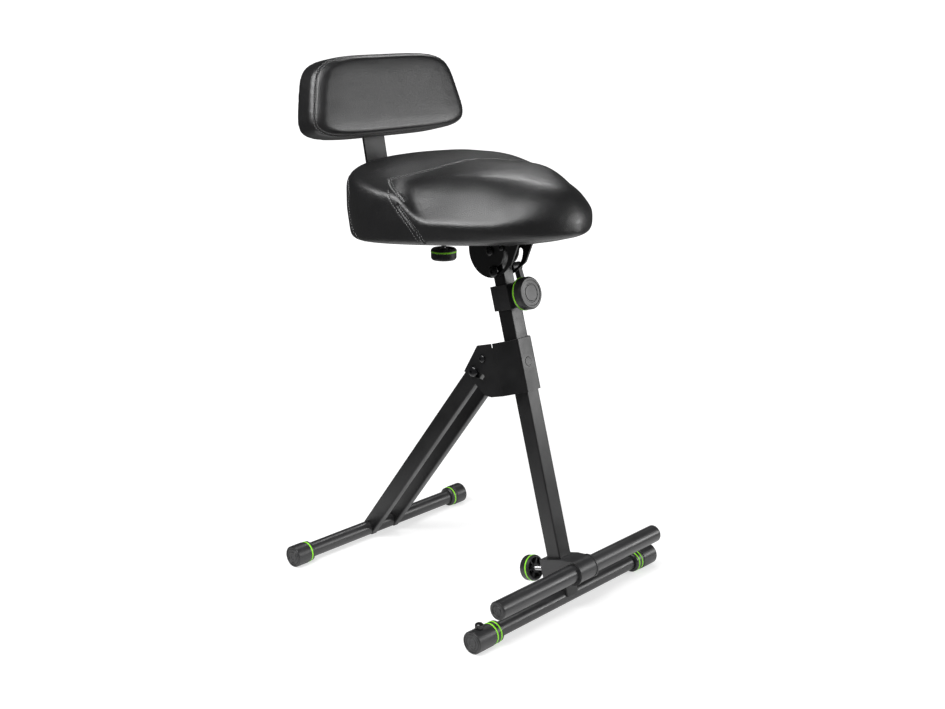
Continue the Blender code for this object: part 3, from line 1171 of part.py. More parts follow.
def build_guide(tilt, looks):
    """The folded channel under the base plate, and the knob that clamps the bar in it."""
    inner = BACK_BAR_WIDTH / 2 + GAP
    wall = inner + GUIDE_SHEET / 2
    floor = GUIDE_INSIDE - GUIDE_SHEET / 2
    flange_z = BASE_UNDER - GAP - GUIDE_SHEET / 2
    out = wall + GUIDE_FLANGE
    right = [(-wall, floor), (-wall, flange_z), (-out, flange_z)]
    path = [(out, flange_z), (wall, flange_z), (wall, floor)] + right
    section = bent_strip(path, GUIDE_SHEET, GUIDE_BEND / 2, 2)
    mesh = plate_mesh("backrest_guide", [section], GUIDE_LENGTH, END_VIEW, (0, BACK_KNOB_BEHIND, 0))
    guide = add("backrest_guide", mesh, tilt, looks["steel"])
    foot = floor - GUIDE_BOSS_LENGTH
    boss = [(0, floor), (GUIDE_BOSS_RADIUS, floor), (GUIDE_BOSS_RADIUS, foot), (0, foot)]
    combine(guide, turned("guide_boss", boss, tilt, None, (0, BACK_KNOB_BEHIND, 0)), "UNION")
    hole = STUD_RADIUS + BOLT_PLAY
    stud_at = (0, BACK_KNOB_BEHIND, floor)
    drill(guide, "guide_stud_hole", hole, 4 * GUIDE_BOSS_LENGTH, tilt, stud_at, (0, 0, 0))
    for where, place in base_screws().items():
        if where.startswith("back"):
            drill(guide, f"guide_hole_{where}", SCREW_RADIUS + GAP, 4 * GUIDE_SHEET, tilt, place, (0, 0, 0))
    shown = BACKREST_STUD_SHOWN
    at = (0, BACK_KNOB_BEHIND, foot - shown)
    stud_length = BAR_MIDDLE - BACK_BAR_THICK / 2 - GAP - foot + shown
    knob("backrest", SMALL_KNOB_RADIUS, SMALL_KNOB_HEIGHT, stud_length, tilt, looks, at, DOWN)


def build_height_knob(post, looks):
    """The knob that clamps the upper post, in front of the collar."""
    ahead = COLLAR_SIZE / 2 + CLAMP_BOSS_LENGTH + 2 * GAP
    stud_length = ahead - UPPER_SIZE / 2 - GAP
    at = (0, -ahead, HEIGHT_KNOB_ALONG)
    knob("height", BIG_KNOB_RADIUS, BIG_KNOB_HEIGHT, stud_length, post, looks, at, FORWARD)


def main():
    """Builds the stool."""
    clear_scene()
    looks = {
        "steel": finish("black_powder_coat", (0.018, 0.018, 0.019), 0.45, 0.0),
        "plastic": finish("black_plastic", (0.016, 0.016, 0.017), 0.5, 0.0),
        "rubber": finish("black_rubber", (0.02, 0.02, 0.02), 0.8, 0.0),
        "bolt": finish("black_bolt", (0.02, 0.02, 0.021), 0.3, 1.0),
        "green": finish("lime_green", (0.16, 0.62, 0.02), 0.5, 0.0),
        "leather": finish("black_leatherette", (0.012, 0.012, 0.013), 0.38, 0.0),
        "wood": finish("black_board", (0.022, 0.021, 0.020), 0.8, 0.0),
    }
    stool = pivot("stool", None, (0, 0, 0))
    post = pivot("post_axis", stool, (0, FRONT_BAR_Y, FRONT_AXIS_Z), (-POST_LEAN, 0, 0))
    build_frame(stool, post, looks)
    build_rear_legs(post, looks)
    build_footrest(post, looks)
    build_height_knob(post, looks)
    slide = build_upper_post(post, looks)
    tilt = build_seat(slide, looks)
    bore_board_for_screws(tilt)
    build_backrest(tilt, looks)


main()
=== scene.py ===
"""The looks of a folding sit-stand stool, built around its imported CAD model.

Metres, +Z up. The sitter faces -Y, and the sitter's right, the near side of the view, is -X.
"Along" is a distance up the leaning post from the axis of the front foot bar, and "behind" is a
distance square to the post, towards the back. Seat sizes are measured from the tilt pivot.
"""

from __future__ import annotations

import json
import logging
import math
from dataclasses import dataclass
from enum import Enum
from typing import Any, Iterable, Iterator, Optional, Sequence

import bmesh
import bpy
from bmesh.types import BMesh, BMEdge, BMVert
from mathutils import Matrix, Vector
from mathutils.bvhtree import BVHTree
from mathutils.kdtree import KDTree

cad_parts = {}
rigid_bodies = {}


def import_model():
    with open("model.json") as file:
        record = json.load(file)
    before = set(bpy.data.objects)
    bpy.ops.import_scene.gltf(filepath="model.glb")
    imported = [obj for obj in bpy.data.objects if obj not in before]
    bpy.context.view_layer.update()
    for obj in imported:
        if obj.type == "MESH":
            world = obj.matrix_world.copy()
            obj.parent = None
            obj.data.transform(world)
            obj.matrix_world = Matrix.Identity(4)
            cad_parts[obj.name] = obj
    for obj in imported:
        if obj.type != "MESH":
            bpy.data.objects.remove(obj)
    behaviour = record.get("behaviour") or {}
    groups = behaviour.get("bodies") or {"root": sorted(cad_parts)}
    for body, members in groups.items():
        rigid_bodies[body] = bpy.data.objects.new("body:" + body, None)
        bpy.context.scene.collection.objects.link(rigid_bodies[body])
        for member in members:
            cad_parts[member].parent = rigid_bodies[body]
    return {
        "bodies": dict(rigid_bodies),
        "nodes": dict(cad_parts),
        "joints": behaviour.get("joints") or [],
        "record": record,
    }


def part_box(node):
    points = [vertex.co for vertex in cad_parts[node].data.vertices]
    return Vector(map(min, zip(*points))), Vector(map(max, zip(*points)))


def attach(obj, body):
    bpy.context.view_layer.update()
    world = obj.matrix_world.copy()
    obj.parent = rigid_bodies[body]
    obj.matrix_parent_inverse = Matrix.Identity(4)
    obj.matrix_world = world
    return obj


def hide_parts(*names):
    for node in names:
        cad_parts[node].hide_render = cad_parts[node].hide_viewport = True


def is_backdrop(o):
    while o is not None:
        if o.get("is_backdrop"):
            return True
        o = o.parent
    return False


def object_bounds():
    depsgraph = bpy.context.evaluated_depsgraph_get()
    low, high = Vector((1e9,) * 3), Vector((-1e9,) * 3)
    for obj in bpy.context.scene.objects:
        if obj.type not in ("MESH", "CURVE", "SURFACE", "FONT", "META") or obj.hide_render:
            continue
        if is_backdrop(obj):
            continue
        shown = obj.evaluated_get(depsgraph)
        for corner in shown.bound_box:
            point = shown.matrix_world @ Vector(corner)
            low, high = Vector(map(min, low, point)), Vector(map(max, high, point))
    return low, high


LOG = logging.getLogger("stool")

Colour = tuple[float, float, float]
Place = tuple[float, float, float]
Profile = Sequence[tuple[float, float]]

GAP = 0.0003
TURN_STEPS = 72
SMALL_TURN_STEPS = 40
FLAT_ANGLE = math.radians(1)
SHARP_ANGLE = math.radians(30)
SMOOTH_ANGLE = math.radians(38)
WHITE = (1, 1, 1, 1)
SMALL_KNOB: dict[str, float] = {"radius": 0.0225, "height": 0.020}
LARGE_KNOB: dict[str, float] = {"radius": 0.0275, "height": 0.022}

# The height clamp: the fronts of the upper post and of the collar, the boss, and its place
UPPER_POST_FRONT = 0.0128
COLLAR_FRONT = 0.0193
BOSS_LENGTH = 0.0125
CLAMP_ALONG = 0.5198

# Ringed faces of the caps and plugs: (share of the radius, drop below the rim) points
CAP_BOSS: Profile = ((0, 0.0011), (0.30, 0.0011), (0.33, 0.0004), (0.50, 0.0004))
CAP_RIDGE: Profile = ((0.53, 0.0013), (0.68, 0.0013), (0.71, 0.0003), (0.82, 0.0003))
CAP_RIM: Profile = ((0.85, 0.0012), (0.93, 0.0012), (0.95, 0), (1, 0))
CAP_FACE: Profile = (*CAP_BOSS, *CAP_RIDGE, *CAP_RIM)
PLUG_BOSS: Profile = ((0, 0.0009), (0.26, 0.0009), (0.29, 0.0003), (0.45, 0.0003))
PLUG_FACE: Profile = (*PLUG_BOSS, (0.48, 0.0012), (0.62, 0.0012), (0.66, 0))

# The widths of the broken edges of the pressed, drawn and moulded pieces
BROKEN_EDGES: dict[float, tuple[str, ...]] = {
    0.0007: ("lower_post", "upper_post", "rear_leg_right", "rear_leg_left"),
    0.0004: ("hinge_bracket", "seat_bracket", "backrest_guide", "backrest_bar"),
    0.0006: ("post_collar",),
    0.0010: ("tilt_lever",),
}

# Turns that point a piece's own +Z along another axis
TO_X = Matrix.Rotation(math.pi / 2, 4, "Y")
TO_MINUS_X = Matrix.Rotation(-math.pi / 2, 4, "Y")
FORWARD = Matrix.Rotation(math.pi / 2, 4, "X")
BACKWARD = Matrix.Rotation(-math.pi / 2, 4, "X")
DOWN = Matrix.Rotation(math.pi, 4, "X")


class Side(Enum):
    """The two sides of the stool, as the sitter names them."""

    RIGHT = -1
    LEFT = 1

    @property
    def word(self) -> str:
        """The side's name in a node's name."""
        return self.name.lower()

    @property
    def outward(self) -> Matrix:
        """The turn that points a piece's own +Z out to this side."""
        return TO_X if self is Side.LEFT else TO_MINUS_X


class Skin(Enum):
    """The three zones of the saddle pad's skin."""

    TOP = "top"
    UNDER = "under"
    RECESS = "recess"


class Value:
    """A node's output that Python arithmetic turns into Math nodes."""

    def __init__(self, graph: Graph, socket: bpy.types.NodeSocket) -> None:
        """Keeps the graph and the socket."""
        self.graph = graph
        self.socket = socket

    def _math(self, operation: str, first: Any, second: Any) -> Value:
        """Adds one Math node.

        Args:
            operation: the Math node's operation.
            first: a value or a number.
            second: a value or a number.

        Returns:
            The node's result.
        """
        return self.graph.node("ShaderNodeMath", {"operation": operation}, {0: first, 1: second})

    def __add__(self, other: Any) -> Value:
        """Sum."""
        return self._math("ADD", self, other)

    __radd__ = __add__

    def __sub__(self, other: Any) -> Value:
        """Difference."""
        return self._math("SUBTRACT", self, other)

    def __rsub__(self, other: Any) -> Value:
        """Difference, from the right."""
        return self._math("SUBTRACT", other, self)

    def __mul__(self, other: Any) -> Value:
        """Product."""
        return self._math("MULTIPLY", self, other)

    __rmul__ = __mul__

    def larger(self, other: Any) -> Value:
        """The larger of two values."""
        return self._math("MAXIMUM", self, other)

    def eased(self, low: float, high: float) -> Value:
        """Rises smoothly from 0 at low to 1 at high."""
        settings = {"interpolation_type": "SMOOTHSTEP"}
        return self.graph.node("ShaderNodeMapRange", settings, {0: self, 1: low, 2: high})


class Graph:
    """The node tree of one material or of the world."""

    def __init__(self, tree: bpy.types.NodeTree) -> None:
        """Empties the tree."""
        self.tree = tree
        tree.nodes.clear()

    def node(
        self,
        kind: str,
        settings: Optional[dict[str, Any]] = None,
        values: Optional[dict[Any, Any]] = None,
        out: Any = 0,
    ) -> Value:
        """Adds any node.

        Args:
            kind: the node's type.
            settings: its own settings, set first.
            values: a number, a colour or a Value for each socket, by name or index.
            out: the output that is handed back, by name or index.

        Returns:
            The chosen output.
        """
        made = self.tree.nodes.new(kind)
        for key, setting in (settings or {}).items():
            setattr(made, key, setting)
        for key, value in (values or {}).items():
            socket = made.inputs[key]
            if isinstance(value, Value):
                self.tree.links.new(value.socket, socket)
            else:
                socket.default_value = value
        return Value(self, made.outputs[out]) if len(made.outputs) else Value(self, made.inputs[0])

    def place(self) -> Value:
        """The point of the surface, in the stool's own frame."""
        return self.node("ShaderNodeTexCoord", out="Object")

    def noise(self, scale: float, detail: float = 2.0, roughness: float = 0.5) -> Value:
        """Soft noise of a size, from about 0.3 to 0.7."""
        values = {"Vector": self.place(), "Scale": scale, "Detail": detail, "Roughness": roughness}
        return self.node("ShaderNodeTexNoise", None, values)

    def cells(self, scale: float, feature: str) -> Value:
        """The distance field of small cells."""
        values = {"Vector": self.place(), "Scale": scale}
        return self.node("ShaderNodeTexVoronoi", {"feature": feature}, values, "Distance")

    def blend(self, share: Value, first: Colour, second: Colour) -> Value:
        """Mixes two colours."""
        values = {0: share, 6: (*first, 1), 7: (*second, 1)}
        return self.node("ShaderNodeMix", {"data_type": "RGBA"}, values, 2)

    def bump(self, height: Value, depth: float, under: Optional[Value] = None) -> Value:
        """Relief of a depth in metres, over finer relief if there is any.

        Args:
            height: the relief, from 0 to 1.
            depth: its depth.
            under: the normal of the finer relief, or None.

        Returns:
            The bumped normal.
        """
        values = {"Strength": 1.0, "Distance": depth, "Height": height}
        if under is not None:
            values["Normal"] = under
        return self.node("ShaderNodeBump", None, values)

    def surface(self, values: dict[str, Any]) -> None:
        """Ends the tree in a Principled surface."""
        shader = self.node("ShaderNodeBsdfPrincipled", None, values)
        self.node("ShaderNodeOutputMaterial", None, {"Surface": shader})


@dataclass(frozen=True)
class Finish:
    """A grained finish: two tones, a roughness that varies a little, and fine relief."""

    name: str
    dark: Colour
    pale: Colour
    roughness: float
    grain: float
    depth: float
    spread: float = 0.10
    mottle: float = 22.0
    metallic: float = 0.0
    specular: float = 0.5

    def make(self) -> bpy.types.Material:
        """Builds the material.

        Returns:
            The finished material.
        """
        material = bpy.data.materials.new(self.name)
        material.use_nodes = True
        graph = Graph(material.node_tree)
        self.paint(graph)
        return material

    def paint(self, graph: Graph) -> None:
        """Fills the graph with the finish's nodes.

        Args:
            graph: the material's empty graph.
        """
        speckle = graph.noise(self.grain, 3.0, 0.6)
        mottle = graph.noise(self.mottle, 3.0)
        tone = (0.6 * speckle + 0.4 * mottle).eased(0.35, 0.65)
        values = {
            "Base Color": graph.blend(tone, self.dark, self.pale),
            "Roughness": self.roughness - self.spread / 2 + self.spread * mottle.eased(0.3, 0.7),
            "Normal": graph.bump(speckle, self.depth),
        }
        graph.surface({**values, **self.constants()})

    def constants(self) -> dict[str, float]:
        """What is the same all over the surface."""
        return {"Metallic": self.metallic, "Specular IOR Level": self.specular}


@dataclass(frozen=True)
class Leatherette(Finish):
    """Soft coated cloth: pebbled cells, pores as its grain and slow waves as its mottle."""

    pebble: float = 380.0
    crack_width: float = 0.16
    crack_roughness: float = 0.10
    wave_share: float = 3.0
    seam_roughness: float = 0.14

    def paint(self, graph: Graph) -> None:
        """Fills the graph with the finish's nodes.

        Args:
            graph: the material's empty graph.
        """
        pebble = graph.cells(self.pebble, "SMOOTH_F1")
        crack = graph.cells(self.pebble, "DISTANCE_TO_EDGE").eased(0.0, self.crack_width)
        pore = graph.noise(self.grain)
        wave = graph.noise(self.mottle)
        seam = graph.node("ShaderNodeAttribute", {"attribute_name": "seam"}, None, "Fac")
        relief = 0.55 * crack + 0.25 * (1 - pebble) + 0.15 * pore
        tone = (0.5 * crack + 0.5 * wave).eased(0.25, 0.85)
        fine = graph.bump(relief, self.depth)
        dull = self.roughness + self.spread * (wave - 0.5) + self.crack_roughness * (1 - crack)
        graph.surface(
            {
                "Base Color": graph.blend(tone, self.dark, self.pale),
                "Roughness": dull + self.seam_roughness * seam,
                "Normal": graph.bump(wave, self.depth * self.wave_share, fine),
                **self.constants(),
            }
        )


@dataclass(frozen=True)
class Fibre(Finish):
    """A board under a black fibre cover: long thin streaks."""

    stretch: float = 0.06

    def paint(self, graph: Graph) -> None:
        """Fills the graph with the finish's nodes.

        Args:
            graph: the material's empty graph.
        """
        scaled = {0: graph.place(), 3: (self.stretch, 1, 1)}
        drawn = graph.node("ShaderNodeMapping", {"vector_type": "POINT"}, scaled)
        values = {"Vector": drawn, "Scale": self.grain, "Detail": 4.0}
        streak = graph.node("ShaderNodeTexNoise", None, values)
        tone = streak.eased(0.3, 0.7)
        graph.surface(
            {
                "Base Color": graph.blend(tone, self.dark, self.pale),
                "Roughness": self.roughness + self.spread * (tone - 0.5),
                "Normal": graph.bump(streak, self.depth),
                **self.constants(),
            }
        )


COAT = Finish("powder_coat", (0.0055, 0.0055, 0.006), (0.0105, 0.0105, 0.011), 0.37, 1500, 7e-5)
# Painted light: the tubes' coat is the same black powder coat, a little glossier, with a lighter
# tone that stands in for the light the round tubes catch
LIGHTENED_TUBE_COAT = Finish("tube_coat", (0.022, 0.022, 0.023), (0.032, 0.032, 0.033), 0.33, 1500, 1.5e-5)
PLASTIC = Finish("moulded_plastic", (0.018, 0.018, 0.019), (0.030, 0.030, 0.031), 0.38, 2400, 4e-5)
RUBBER = Finish("soft_rubber", (0.010, 0.010, 0.010), (0.018, 0.018, 0.018), 0.75, 1800, 5e-5)
BOLT_BLACK = Finish("blacked_bolt", (0.006, 0.006, 0.007), (0.012, 0.012, 0.013), 0.20, 900, 2e-5)
ZINC = Finish("zinc_thread", (0.42, 0.42, 0.43), (0.60, 0.60, 0.60), 0.32, 1600, 2e-5, metallic=1.0)
LIME = Finish("lime_rubber", (0.27, 0.84, 0.020), (0.33, 0.90, 0.035), 0.45, 1500, 3e-5)
HIDE = Leatherette(
    "black_leatherette",
    (0.0045, 0.0045, 0.005),
    (0.0095, 0.0095, 0.010),
    roughness=0.31,
    grain=2100,
    depth=15e-5,
    mottle=26.0,
    specular=0.85,
)
THREAD = Finish("sewing_thread", (0.20, 0.20, 0.202), (0.36, 0.36, 0.36), 0.62, 3800, 8e-5)
BOARD = Fibre("black_board", (0.010, 0.010, 0.010), (0.024, 0.023, 0.022), 0.82, 900, 12e-5)


class Workshop:
    """The loaded frame and the finishes, and the calls that turn a shape into a piece."""

    slot_finish: dict[str, Finish] = {
        "steel": COAT,
        "plastic": PLASTIC,
        "rubber": RUBBER,
        "bolt": BOLT_BLACK,
        "green": LIME,
        "leatherette": HIDE,
        "board": BOARD,
    }

    def __init__(self) -> None:
        """Loads the frame and dresses every CAD node in its slot's finish."""
        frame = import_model()
        self.nodes: dict[str, bpy.types.Object] = frame["nodes"]
        record = frame["record"]
        self.slot_of = {row["node"]: row["material_slot"] for row in record["subparts"]}
        self.body_of = {n: b for b, names in record["behaviour"]["bodies"].items() for n in names}
        self.cad_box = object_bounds()
        self._made: dict[str, bpy.types.Material] = {}
        for name, node in self.nodes.items():
            node.data.materials.clear()
            node.data.materials.append(self.material(self.slot_finish[self.slot_of[name]]))

    def material(self, finish: Finish) -> bpy.types.Material:
        """The material of a finish, made once.

        Args:
            finish: the finish.

        Returns:
            The material.
        """
        if finish.name not in self._made:
            self._made[finish.name] = finish.make()
        return self._made[finish.name]

    def piece(
        self, name: str, shape: BMesh, near: str, finish: Optional[Finish] = None, flat: bool = True
    ) -> bpy.types.Object:
        """Makes an object of a shape, on the body of a node.

        Args:
            name: the piece's name.
            shape: its mesh, which is used up.
            near: the node whose body and slot it takes.
            finish: its finish, or None for the slot's own.
            flat: keeps flat faces flat beside rounded edges.

        Returns:
            The piece.
        """
        obj = as_object(name, shape)
        mesh = obj.data
        mesh.shade_smooth()
        mesh.materials.append(self.material(finish or self.slot_finish[self.slot_of[near]]))
        if flat:
            mesh.set_sharp_from_angle(angle=SMOOTH_ANGLE)
            weigh = obj.modifiers.new("flat_faces", "WEIGHTED_NORMAL")
            weigh.keep_sharp = True
            weigh.weight = 100
        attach(obj, self.body_of[near])
        LOG.info("piece %s, %d faces", name, len(mesh.polygons))
        return obj

    def stand_in(
        self, node: str, shape: BMesh, finish: Optional[Finish] = None, flat: bool = True
    ) -> bpy.types.Object:
        """Makes a piece that stands for one CAD node.

        Args:
            node: the node's name.
            shape: the piece's mesh, which is used up.
            finish: its finish, or None for the slot's own.
            flat: keeps flat faces flat beside rounded edges.

        Returns:
            The piece.
        """
        obj = self.piece(f"{node}_finished", shape, node, finish, flat)
        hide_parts(node)
        return obj

    def refine(self, node: str, edge: float) -> bpy.types.Object:
        """Replaces a node by a copy whose edges are broken as a press or a mould leaves them.

        Args:
            node: the node's name.
            edge: the width of the broken edge.

        Returns:
            The piece.
        """
        shape = bmesh.new()
        shape.from_mesh(self.nodes[node].data)
        bmesh.ops.remove_doubles(shape, verts=shape.verts, dist=1e-5)
        bmesh.ops.dissolve_limit(
            shape,
            angle_limit=FLAT_ANGLE,
            verts=shape.verts,
            edges=shape.edges,
            use_dissolve_boundaries=False,
        )
        return self.stand_in(node, soften(shape, edge))

    def upholster(self, prefix: str, skin: BMesh, rows: list[BMesh], edge: float) -> None:
        """Makes a pad's pieces: the cushion, its stitching and its board.

        Args:
            prefix: what the names of the pad's nodes start with.
            skin: the cushion's sewn skin, which is used up.
            rows: the rows of stitches, which are used up.
            edge: the width of the board's broken edge.
        """
        cushion = f"{prefix}_cushion"
        pad = self.stand_in(cushion, skin, flat=False)
        self.piece(f"{prefix}_stitching", joined(rows), cushion, THREAD, flat=False)
        self.refine(f"{prefix}_board", edge)

    def middle(self, node: str) -> Vector:
        """The middle of a node's box."""
        low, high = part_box(node)
        return (low + high) / 2


def ease(value: float) -> float:
    """Eases from 0 to 1."""
    value = min(max(value, 0.0), 1.0)
    return value * value * (3 - 2 * value)


def arc(steps: int, full: float = math.pi / 2) -> list[float]:
    """The angles of an arc from 0, in equal steps."""
    return [full * i / steps for i in range(steps + 1)]


def as_object(name: str, shape: BMesh) -> bpy.types.Object:
    """Puts a shape, which is used up, into the scene as an object.

    Args:
        name: the object's name.
        shape: its mesh.

    Returns:
        The object.
    """
    mesh = bpy.data.meshes.new(name)
    shape.to_mesh(mesh)
    shape.free()
    obj = bpy.data.objects.new(name, mesh)
    bpy.context.scene.collection.objects.link(obj)
    return obj


def discard(obj: bpy.types.Object) -> None:
    """Removes a working object and its mesh.

    Args:
        obj: the object.
    """
    mesh = obj.data
    bpy.data.objects.remove(obj)
    bpy.data.meshes.remove(mesh)


def aimed(obj: bpy.types.Object, place: Vector, target: Vector) -> None:
    """Adds a camera or a lamp to the scene, at a place and pointing at a target.

    Args:
        obj: the camera or the lamp.
        place: where it stands.
        target: what it points at.
    """
    bpy.context.scene.collection.objects.link(obj)
    obj.location = place
    obj.rotation_euler = (target - place).to_track_quat("-Z", "Y").to_euler()


def turn(profile: Profile, steps: int = TURN_STEPS) -> BMesh:
    """Spins a profile about Z.

    Args:
        profile: (radius, height) points. It is closed into a loop unless both ends are on the axis.
        steps: the segments of a full turn.

    Returns:
        A closed shape.
    """
    shape = bmesh.new()
    points = [shape.verts.new((radius, 0, height)) for radius, height in profile]
    edges = [shape.edges.new(pair) for pair in zip(points, points[1:])]
    if profile[0][0] > 0 or profile[-1][0] > 0:
        edges.append(shape.edges.new((points[-1], points[0])))
    bmesh.ops.spin(
        shape,
        geom=points + edges,
        cent=(0, 0, 0),
        axis=(0, 0, 1),
        angle=2 * math.pi,
        steps=steps,
        use_merge=True,
    )
    bmesh.ops.remove_doubles(shape, verts=shape.verts, dist=1e-6)
    bmesh.ops.recalc_face_normals(shape, faces=shape.faces)
    return shape


def tube(radius: float, wall: float, half: float) -> BMesh:
    """An open tube about Z, from -half to half."""
    inside = radius - wall
    return turn([(radius, half), (radius, -half), (inside, -half), (inside, half)])


def ringed(radius: float, height: float, steps: Profile) -> list[tuple[float, float]]:
    """Profile points of a ringed face.

    Args:
        radius: the face's radius.
        height: the height of its highest ring.
        steps: (share of the radius, drop below the highest ring) points, from the middle out.

    Returns:
        (radius, height) points.
    """
    return [(radius * share, height - drop) for share, drop in steps]


def wrapped(shape: BMesh, segments: int, last: int) -> Iterator[tuple[BMVert, int, float]]:
    """Fills an empty shape with a ball of rings, to be moved into another form.

    Args:
        shape: the empty shape.
        segments: the points of each ring.
        last: the number of the last ring, at the ball's foot.

    Yields:
        Each point, the number of its ring and its angle round the ball.
    """
    bmesh.ops.create_uvsphere(shape, u_segments=segments, v_segments=last, radius=1)
    for vertex in shape.verts:
        level = round(math.acos(min(max(vertex.co.z, -1), 1)) / math.pi * last)
        yield vertex, level, math.atan2(vertex.co.y, vertex.co.x)


def soften(shape: BMesh, width: float, segments: int = 2) -> BMesh:
    """Breaks the sharp edges of a shape.

    Args:
        shape: the shape to change.
        width: the width of the broken edge.
        segments: the steps across it.

    Returns:
        The same shape.
    """
    inner = [edge for edge in shape.edges if len(edge.link_faces) == 2]
    sharp = [edge for edge in inner if edge.calc_face_angle(0.0) > SHARP_ANGLE]
    bmesh.ops.bevel(
        shape,
        geom=sharp,
        offset=width,
        offset_type="OFFSET",
        affect="EDGES",
        segments=segments,
        profile=0.5,
        material=-1,
        clamp_overlap=True,
    )
    return shape


def placed(shape: BMesh, matrix: Matrix) -> BMesh:
    """Moves a whole shape."""
    bmesh.ops.transform(shape, matrix=matrix, verts=shape.verts)
    return shape


def joined(shapes: Iterable[BMesh]) -> BMesh:
    """Puts several shapes into one.

    Args:
        shapes: the shapes, which are used up.

    Returns:
        The one shape.
    """
    whole = bmesh.new()
    for shape in shapes:
        holder = bpy.data.meshes.new("joined")
        shape.to_mesh(holder)
        shape.free()
        whole.from_mesh(holder)
        bpy.data.meshes.remove(holder)
    return whole


def prism(radius: float, low: float, high: float, sides: int) -> BMesh:
    """An upright prism about Z.

    Args:
        radius: the radius to its corners.
        low: the height of its foot.
        high: the height of its top.
        sides: how many sides it has.

    Returns:
        The prism.
    """
    shape = bmesh.new()
    bmesh.ops.create_cone(
        shape, cap_ends=True, segments=sides, radius1=radius, radius2=radius, depth=high - low
    )
    return placed(shape, Matrix.Translation((0, 0, (low + high) / 2)))


def block(size: Sequence[float], matrix: Matrix) -> BMesh:
    """A block with its middle at the matrix's origin.

    Args:
        size: its three lengths.
        matrix: its place and turn.

    Returns:
        The block.
    """
    shape = bmesh.new()
    bmesh.ops.create_cube(shape, size=1, matrix=matrix @ Matrix.Diagonal((*size, 1)))
    return shape


def combined(shape: BMesh, tool: BMesh, operation: str = "DIFFERENCE") -> BMesh:
    """Cuts a shape with a tool, or joins the tool to it.

    Args:
        shape: the shape, which is used up.
        tool: the tool, which is used up.
        operation: the Boolean modifier's operation.

    Returns:
        The result.
    """
    work, cutter = as_object("work", shape), as_object("tool", tool)
    modifier = work.modifiers.new("cut", "BOOLEAN")
    modifier.operation = operation
    modifier.solver = "EXACT"
    modifier.object = cutter
    result = bmesh.new()
    result.from_object(work, bpy.context.evaluated_depsgraph_get())
    discard(work)
    discard(cutter)
    return result


def button_head(radius: float, shank: float, length: float, rise_share: float = 0.7) -> BMesh:
    """A domed bolt with a hexagon socket. Its shank runs down its own -Z from the seat of its head.

    Args:
        radius: the head's radius.
        shank: the shank's radius.
        length: the shank's length.
        rise_share: the head's height as a share of its radius.

    Returns:
        The bolt.
    """
    rise = radius * rise_share
    rim = rise / 3
    crown = [(radius * math.sin(a), rim + (rise - rim) * math.cos(a)) for a in arc(10)]
    foot, socket, socket_floor = radius * 0.94, radius * 0.34, rise * 0.62
    seat = [(radius, rim / 3), (foot, 0), (shank, 0)]
    bolt = turn([*crown, *seat, (shank, -length), (0, -length)], SMALL_TURN_STEPS)
    return combined(bolt, prism(socket, socket_floor, rise * 2, 6))


def hexagon_nut(radius: float, bore: float, height: float) -> BMesh:
    """A nut that stands on its place, with its corners turned off.

    Args:
        radius: the radius to its corners.
        bore: the radius of its bore.
        height: its height.

    Returns:
        The nut, about Z.
    """
    nut = combined(prism(radius, 0, height, 6), prism(bore, -height, 2 * height, SMALL_TURN_STEPS))
    flat = radius * math.cos(math.pi / 6)
    slope = (radius - flat) / 2
    out, drop, edge = radius + slope, slope * 1.4, 0.0002
    cone = [(0, height), (flat, height), (out, height - drop), (out, -height), (0, -height)]
    return soften(combined(nut, turn(cone, SMALL_TURN_STEPS), "INTERSECT"), edge)


def threaded(radius: float, low: float, high: float) -> list[tuple[float, float]]:
    """Profile points of thread ridges, from the high end to the low end.

    Args:
        radius: the thread's outer radius.
        low: the height of its low end.
        high: the height of its high end.

    Returns:
        (radius, height) points.
    """
    pitch, root = 0.00125, radius * 0.88
    ridges = int((high - low) / pitch)
    points = []
    for ridge in range(ridges):
        top = high - ridge * pitch
        points += [(root, top), (radius, top - pitch / 2)]
    return points + [(root, high - ridges * pitch)]


def soft_ring(seat: float, proud: float, width: float) -> BMesh:
    """A ring with a rounded outer side, in a groove.

    Args:
        seat: the radius of the groove's floor.
        proud: the ring's outer radius.
        width: the groove's width.

    Returns:
        The ring, about Z.
    """
    half = width / 2 - GAP / 3
    inner, back, fullness = seat + GAP, seat + GAP / 2, 0.35
    crown = []
    for angle in arc(10, math.pi):
        out = max(math.sin(angle), 0) ** fullness
        crown.append((inner + (proud - inner) * out, half * math.cos(angle)))
    return turn([(back, half), *crown, (back, -half)])


@dataclass
class Post:
    """The leaning post's frame of reference."""

    shop: Workshop
    lean: float = math.radians(15.6)

    def __post_init__(self) -> None:
        """Finds the post's foot on the front foot bar."""
        self.foot = self.shop.middle("front_foot_bar")
        self.axes = Matrix.Translation(self.foot) @ Matrix.Rotation(-self.lean, 4, "X")

    def at(self, x: float, behind: float, along: float) -> Matrix:
        """A place on the post, turned as the post leans."""
        return self.axes @ Matrix.Translation((x, behind, along))


